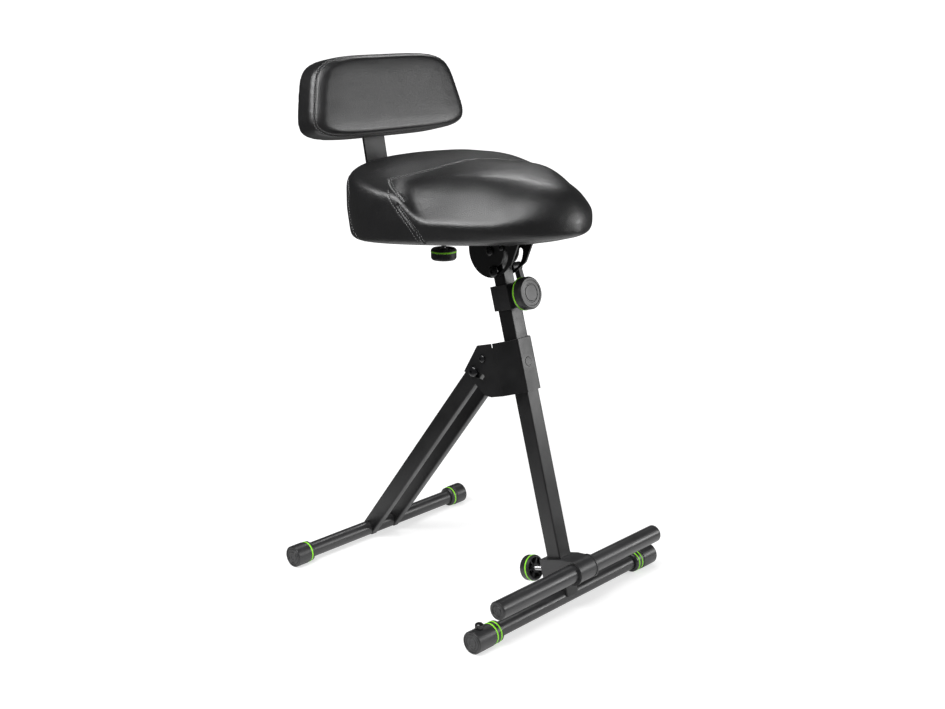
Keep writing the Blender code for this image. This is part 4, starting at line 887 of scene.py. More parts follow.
@dataclass
class FootBar:
    """A foot bar with a ringed cap on each end."""

    shop: Workshop
    end: str
    radius: float
    reach: float
    cap_radius: float
    cap_length: float
    socket: float
    rings: tuple[float, ...]
    wall: float = 0.002
    edge: float = 0.0022
    neck_step: float = 0.0010
    ring_width: float = 0.0030
    ring_depth: float = 0.0010
    ring_proud: float = 0.0005
    bead: float = 0.00025

    def build(self) -> None:
        """Builds the bar, the caps and the rings."""
        axis = self.shop.middle(f"{self.end}_foot_bar")
        root_x = self.reach - self.cap_length
        bar = tube(self.radius, self.wall, root_x + self.socket - GAP)
        bar = placed(bar, Matrix.Translation(axis) @ TO_X)
        self.shop.stand_in(f"{self.end}_foot_bar", bar, LIGHTENED_TUBE_COAT)
        for side in Side:
            root = Matrix.Translation((side.value * root_x, axis.y, axis.z)) @ side.outward
            self.build_rings(side, root)
            cap = placed(self.cap(), root)
            whole = [*cap.verts, *cap.edges, *cap.faces]
            cut = bmesh.ops.bisect_plane(
                cap, geom=whole, plane_co=(0, 0, 0), plane_no=(0, 0, -1), clear_outer=True
            )
            sole = [edge for edge in cut["geom_cut"] if isinstance(edge, BMEdge)]
            bmesh.ops.holes_fill(cap, edges=sole, sides=0)
            if self.end == "front" and side is Side.RIGHT:
                cap = LevellingFoot(self.shop).fit(cap)
            self.shop.stand_in(f"{self.end}_cap_{side.word}", cap)

    def cap(self) -> BMesh:
        """A moulded cap with ring grooves and a ringed face. Its own Z points out along the bar.

        Returns:
            The cap.
        """
        radius, length = self.cap_radius, self.cap_length
        neck = radius - self.neck_step
        bore = self.radius + GAP
        neck_end = max(self.rings) + 2 * self.ring_width
        lip = radius - self.edge
        profile = ringed(lip, length, CAP_FACE)
        for angle in arc(6)[1:]:
            drop = self.edge * (1 - math.cos(angle))
            profile.append((lip + self.edge * math.sin(angle), length - drop))
        profile += [(radius, neck_end), (neck, neck_end - self.neck_step)]
        floor = neck - self.ring_depth
        for centre in sorted(self.rings, reverse=True):
            top, foot = centre + self.ring_width / 2, centre - self.ring_width / 2
            profile += [(neck, top), (floor, top), (floor, foot), (neck, foot)]
        profile += [(neck, self.edge), (neck - self.edge, 0)]
        profile += [(bore, 0), (bore, self.socket), (0, self.socket)]
        return soften(turn(profile), self.bead)

    def build_rings(self, side: Side, root: Matrix) -> None:
        """The soft rings in the cap's grooves.

        Args:
            side: the cap's side.
            root: the cap's own frame.
        """
        for number, centre in enumerate(self.rings, 1):
            name = f"{self.end}_ring_{side.word}"
            if len(self.rings) > 1:
                name += f"_{number}"
            neck = self.cap_radius - self.neck_step
            ring = soft_ring(neck - self.ring_depth, neck + self.ring_proud, self.ring_width)
            place = root @ Matrix.Translation((0, 0, centre))
            self.shop.stand_in(name, placed(ring, place), flat=False)


@dataclass
class LevellingFoot:
    """The levelling screw and its pad in the right front cap."""

    shop: Workshop
    screw_radius: float = 0.004
    knob_radius: float = 0.0068
    knob_height: float = 0.009
    grip_share: float = 0.94
    pad: tuple[float, float, float] = (0.022, 0.016, 0.006)
    pad_edge: float = 0.0012
    bore_low: float = -0.01
    bore_high: float = 0.08
    lobes: int = 14
    edge: float = 0.0003
    lobe_edge: float = 0.0002

    def fit(self, cap: BMesh) -> BMesh:
        """Cuts the cap for the foot and builds the foot.

        Args:
            cap: the right front cap.

        Returns:
            The cap with its pocket and bore.
        """
        middle = self.shop.middle("levelling_pad")
        spot = Matrix.Translation((middle.x, middle.y, 0))
        long, wide, tall = self.pad
        cap = combined(cap, block((long + 2 * GAP, wide + 2 * GAP, 2 * (tall + GAP)), spot))
        bore = prism(self.screw_radius + GAP, self.bore_low, self.bore_high, SMALL_TURN_STEPS)
        cap = combined(cap, placed(bore, spot))
        self.shop.stand_in("levelling_screw", placed(self.screw(), spot))
        pad = block(self.pad, Matrix.Translation(middle))
        self.shop.stand_in("levelling_pad", soften(pad, self.pad_edge, 3))
        return cap

    def screw(self) -> BMesh:
        """The screw with its gripped head, upright over the floor.

        Returns:
            The screw, about Z.
        """
        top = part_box("levelling_screw")[1].z
        foot = top - self.knob_height
        edge = self.knob_radius / 5
        grip = self.knob_radius * self.grip_share
        end = self.pad[2] + GAP
        profile = [(0, top), (grip - edge, top), (grip, top - edge), (grip, foot + edge)]
        profile += [(self.screw_radius, foot), (self.screw_radius, end), (0, end)]
        parts = [soften(turn(profile, SMALL_TURN_STEPS), self.edge)]
        for lobe in range(self.lobes):
            spin = Matrix.Rotation(2 * math.pi * lobe / self.lobes, 4, "Z")
            rib = prism(self.knob_radius - grip + self.edge, foot + edge, top - edge, 10)
            rib = soften(rib, self.lobe_edge)
            parts.append(placed(rib, spin @ Matrix.Translation((grip, 0, 0))))
        return joined(parts)


@dataclass
class ClampKnob:
    """A spoked clamping knob with a soft ring and a threaded stud. Its own Z points to the hand."""

    shop: Workshop
    prefix: str
    axes: Matrix
    radius: float
    height: float
    stud_length: float
    wall: float = 0.004
    edge: float = 0.0025
    hub: float = 0.008
    floor: float = 0.008
    ring_rise: float = 0.0055
    ring_width: float = 0.0030
    ring_depth: float = 0.0010
    spokes: int = 6
    spoke_width: float = 0.0026
    spoke_depth: float = 0.006
    stud: float = 0.004
    stud_seat: float = 0.007
    ring_proud: float = 0.0005
    bead: float = 0.0003
    dish: float = 0.0009
    grip_step: float = 0.0007

    def build(self) -> None:
        """Builds the knob, its ring and its stud."""
        shop = self.shop
        body = combined(turn(self.profile()), self.star(), "UNION")
        shop.stand_in(f"{self.prefix}_knob", placed(soften(body, self.bead), self.axes))
        seat = self.radius - self.ring_depth
        ring = soft_ring(seat, self.radius + self.ring_proud, self.ring_width)
        ring_at = self.axes @ Matrix.Translation((0, 0, self.ring_rise))
        shop.stand_in(f"{self.prefix}_knob_ring", placed(ring, ring_at), flat=False)
        tip = self.stud / 4
        profile = [(0, self.stud_seat), (self.stud, self.stud_seat)]
        profile += threaded(self.stud, tip - self.stud_length, self.stud_seat - 0.0005)
        profile += [(self.stud - tip, -self.stud_length), (0, -self.stud_length)]
        stud = placed(turn(profile, SMALL_TURN_STEPS), self.axes)
        shop.stand_in(f"{self.prefix}_stud", stud, ZINC)

    def profile(self) -> list[tuple[float, float]]:
        """The knob's section: a ringed face, a stepped rim, the ring's groove and the cup.

        Returns:
            (radius, height) points.
        """
        radius, height, edge, dish = self.radius, self.height, self.edge, self.dish
        face, groove = radius - edge, dish * 1.9
        middle = ((0, dish), (0.52, dish), (0.55, groove), (0.61, groove), (0.64, dish))
        points = ringed(face, height, (*middle, (0.84, dish), (0.87, 0), (1, 0)))
        grip = radius - self.grip_step
        points += [(grip, height - edge * 0.75), (grip, height - edge * 1.1)]
        points += [(radius, height - edge * 1.35)]
        top, foot = self.ring_rise + self.ring_width / 2, self.ring_rise - self.ring_width / 2
        seat = radius - self.ring_depth
        points += [(radius, top), (seat, top), (seat, foot), (radius, foot)]
        bore, cup, floor = self.stud + GAP, radius - self.wall, self.floor
        points += [(radius, edge), (face, 0), (cup, 0)]
        points += [(cup, floor), (self.hub, floor), (self.hub, 0)]
        return points + [(bore, 0), (bore, self.stud_seat + GAP), (0, self.stud_seat + GAP)]

    def star(self) -> BMesh:
        """The spokes between the hub and the rim.

        Returns:
            The spokes in one shape.
        """
        foot = self.floor - self.spoke_depth
        top = self.floor + GAP
        inner = self.hub - self.spoke_width / 4
        outer = self.radius - self.wall * 0.75
        arms = []
        for spoke in range(self.spokes):
            reach = Matrix.Translation(((inner + outer) / 2, 0, (foot + top) / 2))
            spin = Matrix.Rotation(2 * math.pi * spoke / self.spokes, 4, "Z")
            arms.append(block((outer - inner, self.spoke_width, top - foot), spin @ reach))
        return joined(arms)


@dataclass
class Uprights:
    """The posts, collar, legs, brackets, backrest bar and lever, with their bolts and nuts."""

    shop: Workshop
    post: Post
    ear_outer: float = 0.0405
    cheek_outer: float = 0.0202
    nut_height: float = 0.006
    nut_rim: float = 0.003
    cover_radius: float = 0.0083
    cover_along: float = 0.4068
    cover_rise: float = 0.0006
    cover_root: float = -0.0002
    bracket_front: float = 0.0183
    boss_bore: float = 0.0043
    boss_face: float = 0.0100
    boss_radius: float = 0.0120
    boss_bevel: float = 0.002
    boss_edge: float = 0.0004

    def build(self) -> None:
        """Builds every piece."""
        for edge, nodes in BROKEN_EDGES.items():
            for node in nodes:
                self.shop.refine(node, edge)
        self.build_boss()
        self.build_cover()
        self.build_fasteners()

    def build_boss(self) -> None:
        """The turned boss between the collar and the height knob."""
        bore, top = self.boss_bore, BOSS_LENGTH
        profile = [(bore, top), (self.boss_face, top), (self.boss_radius, top - self.boss_bevel)]
        profile += [(self.boss_radius, 0), (bore, 0)]
        boss = soften(turn(profile), self.boss_edge)
        place = self.post.at(0, -COLLAR_FRONT - GAP, CLAMP_ALONG) @ FORWARD
        self.shop.stand_in("clamp_boss", placed(boss, place))

    def build_cover(self) -> None:
        """A plain round cover on the bracket's front."""
        radius, dip = self.cover_radius, self.cover_rise / 2
        profile = ringed(radius, self.cover_rise, ((0, dip), (0.72, dip), (0.76, 0), (0.92, 0)))
        profile += [(radius, 0), (radius, self.cover_root), (0, self.cover_root)]
        place = self.post.at(0, -self.bracket_front, self.cover_along) @ FORWARD
        self.shop.piece("bracket_cover", placed(turn(profile), place), "hinge_bracket")

    def build_fasteners(self) -> None:
        """The domed bolts and the hexagon nuts across the stool."""
        rows = (
            ("leg_hinge", self.ear_outer, 0.0072, 0.0045, True),
            ("leg_stop", self.ear_outer, 0.0098, 0.0050, True),
            ("tilt_pivot", self.cheek_outer, 0.0080, 0.0050, True),
            ("tilt_clamp", self.cheek_outer, 0.0098, 0.0050, False),
            ("seat_tie", self.cheek_outer, 0.0060, 0.0030, False),
        )
        for name, side, head, shank, has_nut in rows:
            low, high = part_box(f"{name}_bolt")
            _, y, z = (low + high) / 2
            seat = -side - GAP
            bolt = button_head(head, shank, high.x - seat)
            place = Matrix.Translation((seat, y, z)) @ TO_MINUS_X
            self.shop.stand_in(f"{name}_bolt", placed(bolt, place))
            if has_nut:
                nut = hexagon_nut(shank + self.nut_rim, shank + GAP, self.nut_height)
                place = Matrix.Translation((side + GAP, y, z)) @ TO_X
                self.shop.stand_in(f"{name}_nut", placed(nut, place))


@dataclass
class Footrest:
    """The footrest tube in its moulded carrier, with its end plugs and its clamping knob."""

    shop: Workshop
    post: Post
    along: float = 0.0457
    radius: float = 0.0155
    wall: float = 0.002
    reach: float = 0.2108
    lip: float = 0.003
    stem: float = 0.014
    carrier_back: float = 0.0253
    carrier_edge: float = 0.0009
    stud_shown: float = 0.034
    post_half: float = 0.015
    bead: float = 0.0002

    def build(self) -> None:
        """Builds the tube, the plugs, the carrier and the knob."""
        axis = self.shop.middle("footrest_tube")
        end = self.reach - self.lip
        bar = tube(self.radius, self.wall, end - GAP)
        self.shop.stand_in("footrest_tube", placed(bar, Matrix.Translation(axis) @ TO_X), LIGHTENED_TUBE_COAT)
        for side in Side:
            place = Matrix.Translation((side.value * end, axis.y, axis.z)) @ side.outward
            self.shop.stand_in(f"footrest_plug_{side.word}", placed(self.plug(), place))
        self.shop.refine("footrest_carrier", self.carrier_edge)
        behind = self.carrier_back + self.stud_shown
        knob_at = self.post.at(0, behind, self.along) @ BACKWARD
        stud = behind - self.post_half - GAP
        ClampKnob(self.shop, "footrest", knob_at, **SMALL_KNOB, stud_length=stud).build()

    def plug(self) -> BMesh:
        """An end plug with a ringed face. Its own Z points out of the tube.

        Returns:
            The plug.
        """
        radius, lip = self.radius, self.lip
        stem = radius - self.wall - GAP
        profile = ringed(radius, lip, PLUG_FACE)
        profile += [(radius - lip / 2, lip), (radius - lip / 6, lip - lip / 6), (radius, lip / 2)]
        profile += [(radius, 0), (stem, 0), (stem, -self.stem), (0, -self.stem)]
        return soften(turn(profile), self.bead)


@dataclass
class Stuffing:
    """The cloth simulation that fills a pad."""

    voxel: float = 0.004
    relaxing: int = 1
    evening: int = 30
    pressure: float = 4.0
    frames: int = 20
    cap: float = 0.003
    back_facing: float = -0.3

    def fill(
        self, name: str, shape: BMesh, held: float, away: Vector, origin: Vector
    ) -> BMesh:
        """Remeshes a pad, blows it up under its cover and hands back the taut skin.

        Args:
            name: the working object's name.
            shape: the pad's cut shape, which is used up.
            held: points whose distance from the board is under this are sewn down.
            away: the direction away from the board.
            origin: the point that the distance is measured from.

        Returns:
            The filled skin, subdivided once.
        """
        cut = BVHTree.FromBMesh(shape)
        obj = as_object(name, shape)
        remesh = obj.modifiers.new("remesh", "REMESH")
        remesh.mode = "VOXEL"
        remesh.voxel_size = self.voxel
        self._apply(obj)
        self._lay(obj.data, cut)
        self._inflate(obj, held, away, origin)
        divide = obj.modifiers.new("divide", "SUBSURF")
        divide.levels = 1
        divide.render_levels = 1
        self._apply(obj)
        skin = bmesh.new()
        skin.from_mesh(obj.data)
        discard(obj)
        return skin

    def _inflate(
        self, obj: bpy.types.Object, held: float, away: Vector, origin: Vector
    ) -> None:
        """Runs the cloth and moves the points, each by no more than the cap.

        Args:
            obj: the remeshed pad.
            held: points nearer to the board than this are sewn down.
            away: the direction away from the board.
            origin: the point that the distance is measured from.
        """
        rest = [v.co.copy() for v in obj.data.vertices]
        group = obj.vertex_groups.new(name="sewn")
        for vertex in obj.data.vertices:
            near_board = (vertex.co - origin).dot(away) < held
            if near_board or vertex.normal.dot(away) < self.back_facing:
                group.add([vertex.index], 1.0, "REPLACE")
        cloth = obj.modifiers.new("stuffing", "CLOTH")
        settings = cloth.settings
        settings.quality = 5
        settings.mass = 0.3
        settings.tension_stiffness = 30
        settings.compression_stiffness = 30
        settings.shear_stiffness = 20
        settings.bending_stiffness = 2
        settings.use_pressure = True
        settings.uniform_pressure_force = self.pressure
        settings.vertex_group_mass = group.name
        settings.effector_weights.gravity = 0
        cloth.collision_settings.use_collision = False
        cloth.point_cache.frame_start = 1
        cloth.point_cache.frame_end = self.frames
        scene = bpy.context.scene
        for frame in range(1, self.frames + 1):
            scene.frame_set(frame)
        graph = bpy.context.evaluated_depsgraph_get()
        moved = [v.co.copy() for v in obj.evaluated_get(graph).data.vertices]
        obj.modifiers.remove(cloth)
        scene.frame_set(1)
        obj.vertex_groups.clear()
        normals = [v.normal.copy() for v in obj.data.vertices]
        rise = [(end - start).dot(normal) for start, end, normal in zip(rest, moved, normals)]
        rise = self._even(obj.data, [min(max(r, 0.0), self.cap) for r in rise])
        for vertex, start, normal, height in zip(obj.data.vertices, rest, normals, rise):
            vertex.co = start + normal * height

    def _even(self, mesh: bpy.types.Mesh, rise: list[float]) -> list[float]:
        """Spreads the filling evenly, as taut cloth does.

        Args:
            mesh: the skin.
            rise: each point's rise.

        Returns:
            Each point's evened rise.
        """
        beside: list[list[int]] = [[] for _ in rise]
        for edge in mesh.edges:
            first, second = edge.vertices
            beside[first].append(second)
            beside[second].append(first)
        for _ in range(self.evening):
            means = [sum(rise[n] for n in near) / len(near) for near in beside]
            rise = [(own + mean) / 2 for own, mean in zip(rise, means)]
        return rise

    def _lay(self, mesh: bpy.types.Mesh, cut: BVHTree) -> None:
        """Lays the remeshed skin on the cut shape and evens it out.

        Args:
            mesh: the skin, which is changed.
            cut: the cut shape's surface.
        """
        skin = bmesh.new()
        skin.from_mesh(mesh)
        for vertex in skin.verts:
            vertex.co = cut.find_nearest(vertex.co)[0]
        for _ in range(self.relaxing):
            axes = {f"use_axis_{axis}": True for axis in "xyz"}
            bmesh.ops.smooth_vert(skin, verts=skin.verts, factor=0.5, **axes)
        skin.to_mesh(mesh)
        skin.free()

    @staticmethod
    def _apply(obj: bpy.types.Object) -> None:
        """Applies every modifier of an object.

        Args:
            obj: the object.
        """
        graph = bpy.context.evaluated_depsgraph_get()
        mesh = bpy.data.meshes.new_from_object(obj.evaluated_get(graph))
        old = obj.data
        obj.modifiers.clear()
        obj.data = mesh
        bpy.data.meshes.remove(old)


@dataclass(frozen=True)
class Crease:
    """A valley in a skin: its depth and width, its seam mark, and the folds that run into it."""

    depth: float
    width: float
    mark: float = 0.0
    pucker: float = 0.0
    pucker_run: float = 0.009


FOLD = Crease(0.0003, 0.008)
SEAM = Crease(0.0020, 0.0019, 1.0, 0.00012)
WELT = Crease(0.0016, 0.0016, 1.0)
SECOND_ROW = Crease(0.0006, 0.0012, 0.6)
BACKREST_SEAM = Crease(0.0018, 0.0018, 1.0, 0.0001)


class Tailor:
    """Sews seams, folds and stitches into a filled skin."""

    step: float = 0.001
    seam_reach: float = 0.006
    seam_cuts: int = 2
    stitch_pitch: float = 0.004
    stitch_size: tuple[float, ...] = (0.38 * stitch_pitch, 0.00048, 0.00040, 1)
    stitch_lift: float = 0.00015

    def __init__(self, skin: BMesh) -> None:
        """Keeps the skin and a tree of its surface.

        Args:
            skin: the filled skin.
        """
        self.skin = skin
        self.tree = BVHTree.FromBMesh(skin)
        self.mark = skin.verts.layers.float.new("seam")

    def line(self, points: Sequence[Vector]) -> list[Vector]:
        """A smooth line on the skin through some points.

        Args:
            points: points on or near the skin.

        Returns:
            Points on the skin, a step apart.
        """
        path: list[Vector] = []
        for i in range(len(points) - 1):
            before, start = points[max(i - 1, 0)], points[i]
            end, after = points[i + 1], points[min(i + 2, len(points) - 1)]
            count = max(int((end - start).length / self.step), 1)
            for j in range(count):
                path.append(self._curve(before, start, end, after, j / count))
        path.append(points[-1])
        return [self.tree.find_nearest(p)[0] for p in path]

    @staticmethod
    def _curve(before: Vector, start: Vector, end: Vector, after: Vector, t: float) -> Vector:
        """A point of the spline between start and end.

        Args:
            before: the point before start.
            start: where the span starts.
            end: where the span ends.
            after: the point after end.
            t: how far along the span the point is, from 0 to 1.

        Returns:
            The point.
        """
        slope = (end - before) / 2
        leave = (after - start) / 2
        square, cube = t * t, t * t * t
        bend = (2 * cube - 3 * square + 1) * start + (cube - 2 * square + t) * slope
        return bend + (3 * square - 2 * cube) * end + (cube - square) * leave

    def refine(self, paths: Sequence[list[Vector]]) -> None:
        """Divides the skin more finely beside some lines.

        Args:
            paths: the lines.
        """
        near = self._nearest(paths)
        edges = []
        for edge in self.skin.edges:
            middle = (edge.verts[0].co + edge.verts[1].co) / 2
            if near.find(middle)[2] < self.seam_reach:
                edges.append(edge)
        bmesh.ops.subdivide_edges(
            self.skin, edges=edges, cuts=self.seam_cuts, use_grid_fill=True, smooth=0.0
        )

    def press(self, paths: Sequence[list[Vector]], crease: Crease) -> None:
        """Presses a valley into the skin along some lines.

        Args:
            paths: the lines.
            crease: the valley.
        """
        near = self._nearest(paths)
        width = crease.width
        normals = {v: v.normal.copy() for v in self.skin.verts}
        for vertex, normal in normals.items():
            _, index, far = near.find(vertex.co)
            if far > 8 * width:
                continue
            bell = math.exp(-((far / width) ** 2))
            wave = math.sin(2 * math.pi * index * self.step / crease.pucker_run)
            fold = crease.pucker * wave * math.exp(-far / (3 * width))
            vertex[self.mark] = max(vertex[self.mark], crease.mark * bell)
            vertex.co -= normal * (crease.depth * bell + fold * (1 - bell))
        self.skin.normal_update()

    @staticmethod
    def _nearest(paths: Sequence[list[Vector]]) -> KDTree:
        """A search tree of the lines' points.

        Args:
            paths: the lines.

        Returns:
            The tree.
        """
        points = [p for path in paths for p in path]
        tree = KDTree(len(points))
        for index, point in enumerate(points):
            tree.insert(point, index)
        tree.balance()
        return tree

    def stitches(self, path: list[Vector], offset: float) -> BMesh:
        """A row of stitches beside a line.

        Args:
            path: the line.
            offset: the row's distance from it, to the right of its run.

        Returns:
            The stitches, one small grain each.
        """
        surface = BVHTree.FromBMesh(self.skin)
        row = bmesh.new()
        scale = Matrix.Diagonal(self.stitch_size)
        every = max(int(self.stitch_pitch / self.step), 1)
        for i in range(every, len(path) - every, every):
            run = (path[i + every // 2] - path[i - every // 2]).normalized()
            normal = surface.find_nearest(path[i])[1]
            aside = run.cross(normal).normalized()
            spot, normal, _, _ = surface.find_nearest(path[i] + aside * offset)
            side = run.cross(normal).normalized()
            basis = Matrix((run, side, normal)).transposed().to_4x4()
            place = Matrix.Translation(spot + normal * self.stitch_lift) @ basis @ scale
            bmesh.ops.create_uvsphere(row, u_segments=6, v_segments=4, radius=1, matrix=place)
        return row


@dataclass
class Saddle:
    """The padded saddle: a wide back, a stitched seam, flank facets and a drawn-in nose."""

    shop: Workshop
    pivot: Vector
    underside: float = 0.0228
    board: float = 0.012
    board_share: float = 0.70
    top: float = 0.1435
    half_width: float = 0.2070
    widest: float = 0.104
    middle: float = 0.084
    rear: float = 0.2255
    nose: float = 0.1715
    nose_lead: float = 0.060
    rear_power: float = 2.4
    nose_power: float = 1.67
    bolster: float = 0.0045
    bolster_behind: float = 0.044
    bolster_run: float = 0.090
    nose_drop: float = 0.0335
    nose_full: float = 0.026
    nose_dome: float = 0.006
    front_gain: float = 1.6
    flank_drop: float = 0.006
    flank_power: float = 1.6
    trough: float = 0.013
    trough_share: float = 0.80
    trough_rise: float = 0.34
    trough_from: float = 0.28
    trough_fade: float = 0.40
    rear_side_drop: float = 0.0150
    rear_edge: float = 0.0735
    nose_edge: float = 0.0480
    undercut: float = 0.013
    skirt: float = 0.008
    taper: float = 0.035
    facet_foot: float = 0.0920
    facet_inset: float = 0.020
    facet_slope: float = 1.42
    facet_dip: float = 0.35
    dip_from: float = 0.30
    dip_to: float = 0.72
    dip_run: float = 0.25
    facet_end: float = -0.012
    facet_lean: float = 1.35
    facet_fade: float = 0.080
    facet_blend: float = 0.022
    roll: float = 9.5
    nose_roll: float = 5.5
    shrink: float = 0.0008
    shrink_from: float = 0.004
    shrink_run: float = 0.02
    segments: int = 240
    knee: float = 0.85
    board_play: float = 1.002
    held: float = 0.010
    seam_half: float = 0.166
    seam_middle: float = 0.058
    seam_bow: float = 0.98
    row_offset: float = 0.0026
    board_edge: float = 0.0008

    def build(self) -> None:
        """Builds the pad, its stitches and its board."""
        stuffing = Stuffing(voxel=0.0052, evening=20)
        held = self.underside + self.held
        skin = stuffing.fill("saddle_work", self.form(), held, Vector((0, 0, 1)), self.pivot)
        tailor = Tailor(skin)
        seams, welts = self.seam_lines(tailor), self.welt_lines(tailor)
        folds, seconds = self.fold_lines(tailor), self.second_rows(tailor)
        tailor.refine(seams + welts + seconds)
        creases = ((folds, FOLD), (seams, SEAM), (welts, WELT), (seconds, SECOND_ROW))
        for paths, crease in creases:
            tailor.press(paths, crease)
        offset = self.row_offset
        rows = [tailor.stitches(path, aside) for path in seams for aside in (offset, -offset)]
        rows += [tailor.stitches(path, 0.0) for path in seconds]
        rows += [tailor.stitches(path, offset) for path in welts]
        self.shop.upholster("seat", skin, rows, self.board_edge)

    def outline(self, angle: float) -> tuple[float, float]:
        """A point of the plan: square at the back, drawn in to a nose at the front.

        Args:
            angle: the angle round the plan.

        Returns:
            The point's x and y.
        """
        cos, sin = math.cos(angle), math.sin(angle)
        power = self.rear_power if sin >= 0 else self.nose_power
        reach = self.rear - self.widest if sin >= 0 else self.nose + self.widest
        size = (abs(cos) ** power + abs(sin) ** power) ** (-1 / power)
        return self.half_width * size * cos, self.widest + reach * size * sin

    def forward(self, y: float) -> float:
        """0 over the back of the saddle, rising to 1 at its nose."""
        run = self.nose + self.widest + self.nose_lead
        return min(max((run - self.nose - y) / run, 0), 1)

    def crown(self, x: float, y: float, inset: float) -> float:
        """The height of the top: a rear bolster, a falling nose and a facet on each flank.

        Args:
            x: the place across the seat.
            y: the place along it.
            inset: the distance in from the outline.

        Returns:
            The height over the pivot.
        """
        forward = self.forward(y)
        front = ease(self.front_gain * forward)
        across = abs(x) / self.half_width
        crown = self.top + self.bolster * ease((y - self.bolster_behind) / self.bolster_run)
        crown -= self.nose_drop * forward**2
        crown -= self.flank_drop * across**self.flank_power * front
        crown -= self.rear_side_drop * across**2 * (1 - front)
        reach = self.rear - self.widest if y > self.widest else self.nose + self.widest
        local = self.half_width * math.sqrt(max(1 - ((y - self.widest) / reach) ** 2, 0.02))
        crown += self.nose_dome * front * (1 - min(abs(x) / local, 1) ** 2)
        trough = ease(forward / self.trough_rise)
        trough *= 1 - ease((forward - self.trough_from) / self.trough_fade)
        crown -= self.trough * ease(across / self.trough_share) * trough
        fade = ease((y - self.facet_end - self.facet_lean * inset) / self.facet_fade)
        nose = ease((forward - self.dip_to) / self.dip_run)
        dip = ease((forward - self.dip_from) / self.dip_run) * (1 - nose)
        slope = self.facet_slope - self.facet_dip * dip
        facet = self.facet_foot + self.nose_full * nose + self.top * fade / 2
        facet += slope * (inset - self.facet_inset)
        share = min(max(0.5 + 0.5 * (facet - crown) / self.facet_blend, 0), 1)
        return facet * (1 - share) + crown * share - self.facet_blend * share * (1 - share)

    def skin_point(self, angle: float, share: float, zone: Skin) -> Vector:
        """A point of the skin, a share of the way from the middle to the outline.

        Args:
            angle: the angle round the plan.
            share: how far out the point is, from 0 to 1.
            zone: the zone of the skin.

        Returns:
            The point, from the pivot.
        """
        edge_x, edge_y = self.outline(angle)
        x, y = edge_x * share, self.middle + (edge_y - self.middle) * share
        rim = self.rear_edge + (self.nose_edge - self.rear_edge) * self.forward(edge_y)
        roll = self.roll + (self.nose_roll - self.roll) * self.forward(edge_y) ** 2
        round_off = (1 - min(share, 1) ** roll) ** (1 / roll)
        if zone is Skin.TOP:
            inset = (1 - share) * math.hypot(edge_x, edge_y - self.middle)
            return Vector((x, y, rim + (self.crown(x, y, inset) - rim) * round_off))
        if zone is Skin.RECESS:
            return Vector((x, y, self.underside + self.board + GAP))
        past = ease((share - self.board_share) / (1 - self.board_share))
        skirt = self.skirt * (x / self.half_width) ** 2 * (1 - self.forward(y)) ** 2
        lift = (self.undercut * self.forward(y) ** 1.5 - skirt) * past
        shrink = 1 - self.taper * round_off
        z = rim - (rim - self.underside - lift) * round_off
        return Vector((x * shrink, self.middle + (y - self.middle) * shrink, z))

    def form(self) -> BMesh:
        """The cut shape of the pad, a little smaller than it is when filled.

        Returns:
            The shape in its place.
        """
        start = math.asin(self.knee ** (self.roll / 2))
        bends = [math.sin(start + a) ** (2 / self.roll) for a in arc(16, math.pi / 2 - start)]
        rings = [(self.knee * i / 24, Skin.TOP) for i in range(24)]
        rings += [(share, Skin.TOP) for share in bends]
        rings += [(share, Skin.UNDER) for share in reversed(bends[:-1])]
        wall = self.board_share * self.board_play
        rings.append((self.board_share / (1 - self.taper) * self.board_play, Skin.UNDER))
        rings += [(share, Skin.RECESS) for share in (wall, 0.4, 0)]
        shape = bmesh.new()
        for vertex, level, angle in wrapped(shape, self.segments, len(rings) - 1):
            vertex.co = self.skin_point(angle, *rings[level])
        shape.normal_update()
        for vertex in shape.verts:
            free = ease((vertex.co.z - self.underside - self.shrink_from) / self.shrink_run)
            vertex.co -= vertex.normal * self.shrink * (free if vertex.normal.z > -0.5 else 0)
        return placed(shape, Matrix.Translation(self.pivot))

    def mirrored(self, tailor: Tailor, points: Sequence[Place]) -> list[list[Vector]]:
        """A line on each flank, from points on the sitter's left.

        Args:
            tailor: the skin's tailor.
            points: points from the pivot.

        Returns:
            The two lines.
        """
        lines = []
        for side in Side:
            flank = [self.pivot + Vector((side.value * x, y, z)) for x, y, z in points]
            lines.append(tailor.line(flank))
        return lines

    def seam_lines(self, tailor: Tailor) -> list[list[Vector]]:
        """The seam across the top and down each flank.

        Args:
            tailor: the skin's tailor.

        Returns:
            The three lines.
        """
        across = []
        for i in range(-8, 9):
            x = self.seam_half * i / 8
            y = self.seam_middle + self.seam_bow * x * x
            start = self.pivot + Vector((x, y, 2 * self.top))
            across.append(tailor.tree.ray_cast(start, Vector((0, 0, -1)))[0])
        upper = ((0.166, 0.085, 0.129), (0.178, 0.070, 0.121), (0.184, 0.054, 0.106))
        lower = ((0.1845, 0.043, 0.0926), (0.184, 0.033, 0.080), (0.1836, 0.0116, 0.057))
        flank = (*upper, *lower, (0.1725, 0.0013, 0.0335))
        return [tailor.line(across), *self.mirrored(tailor, flank)]

    def second_rows(self, tailor: Tailor) -> list[list[Vector]]:
        """The second row of stitches behind each flank seam."""
        upper = ((0.1906, 0.0639, 0.1133), (0.1926, 0.0541, 0.0987), (0.1905, 0.0308, 0.0709))
        return self.mirrored(tailor, (*upper, (0.1871, 0.021, 0.0573), (0.1760, 0.0100, 0.0335)))

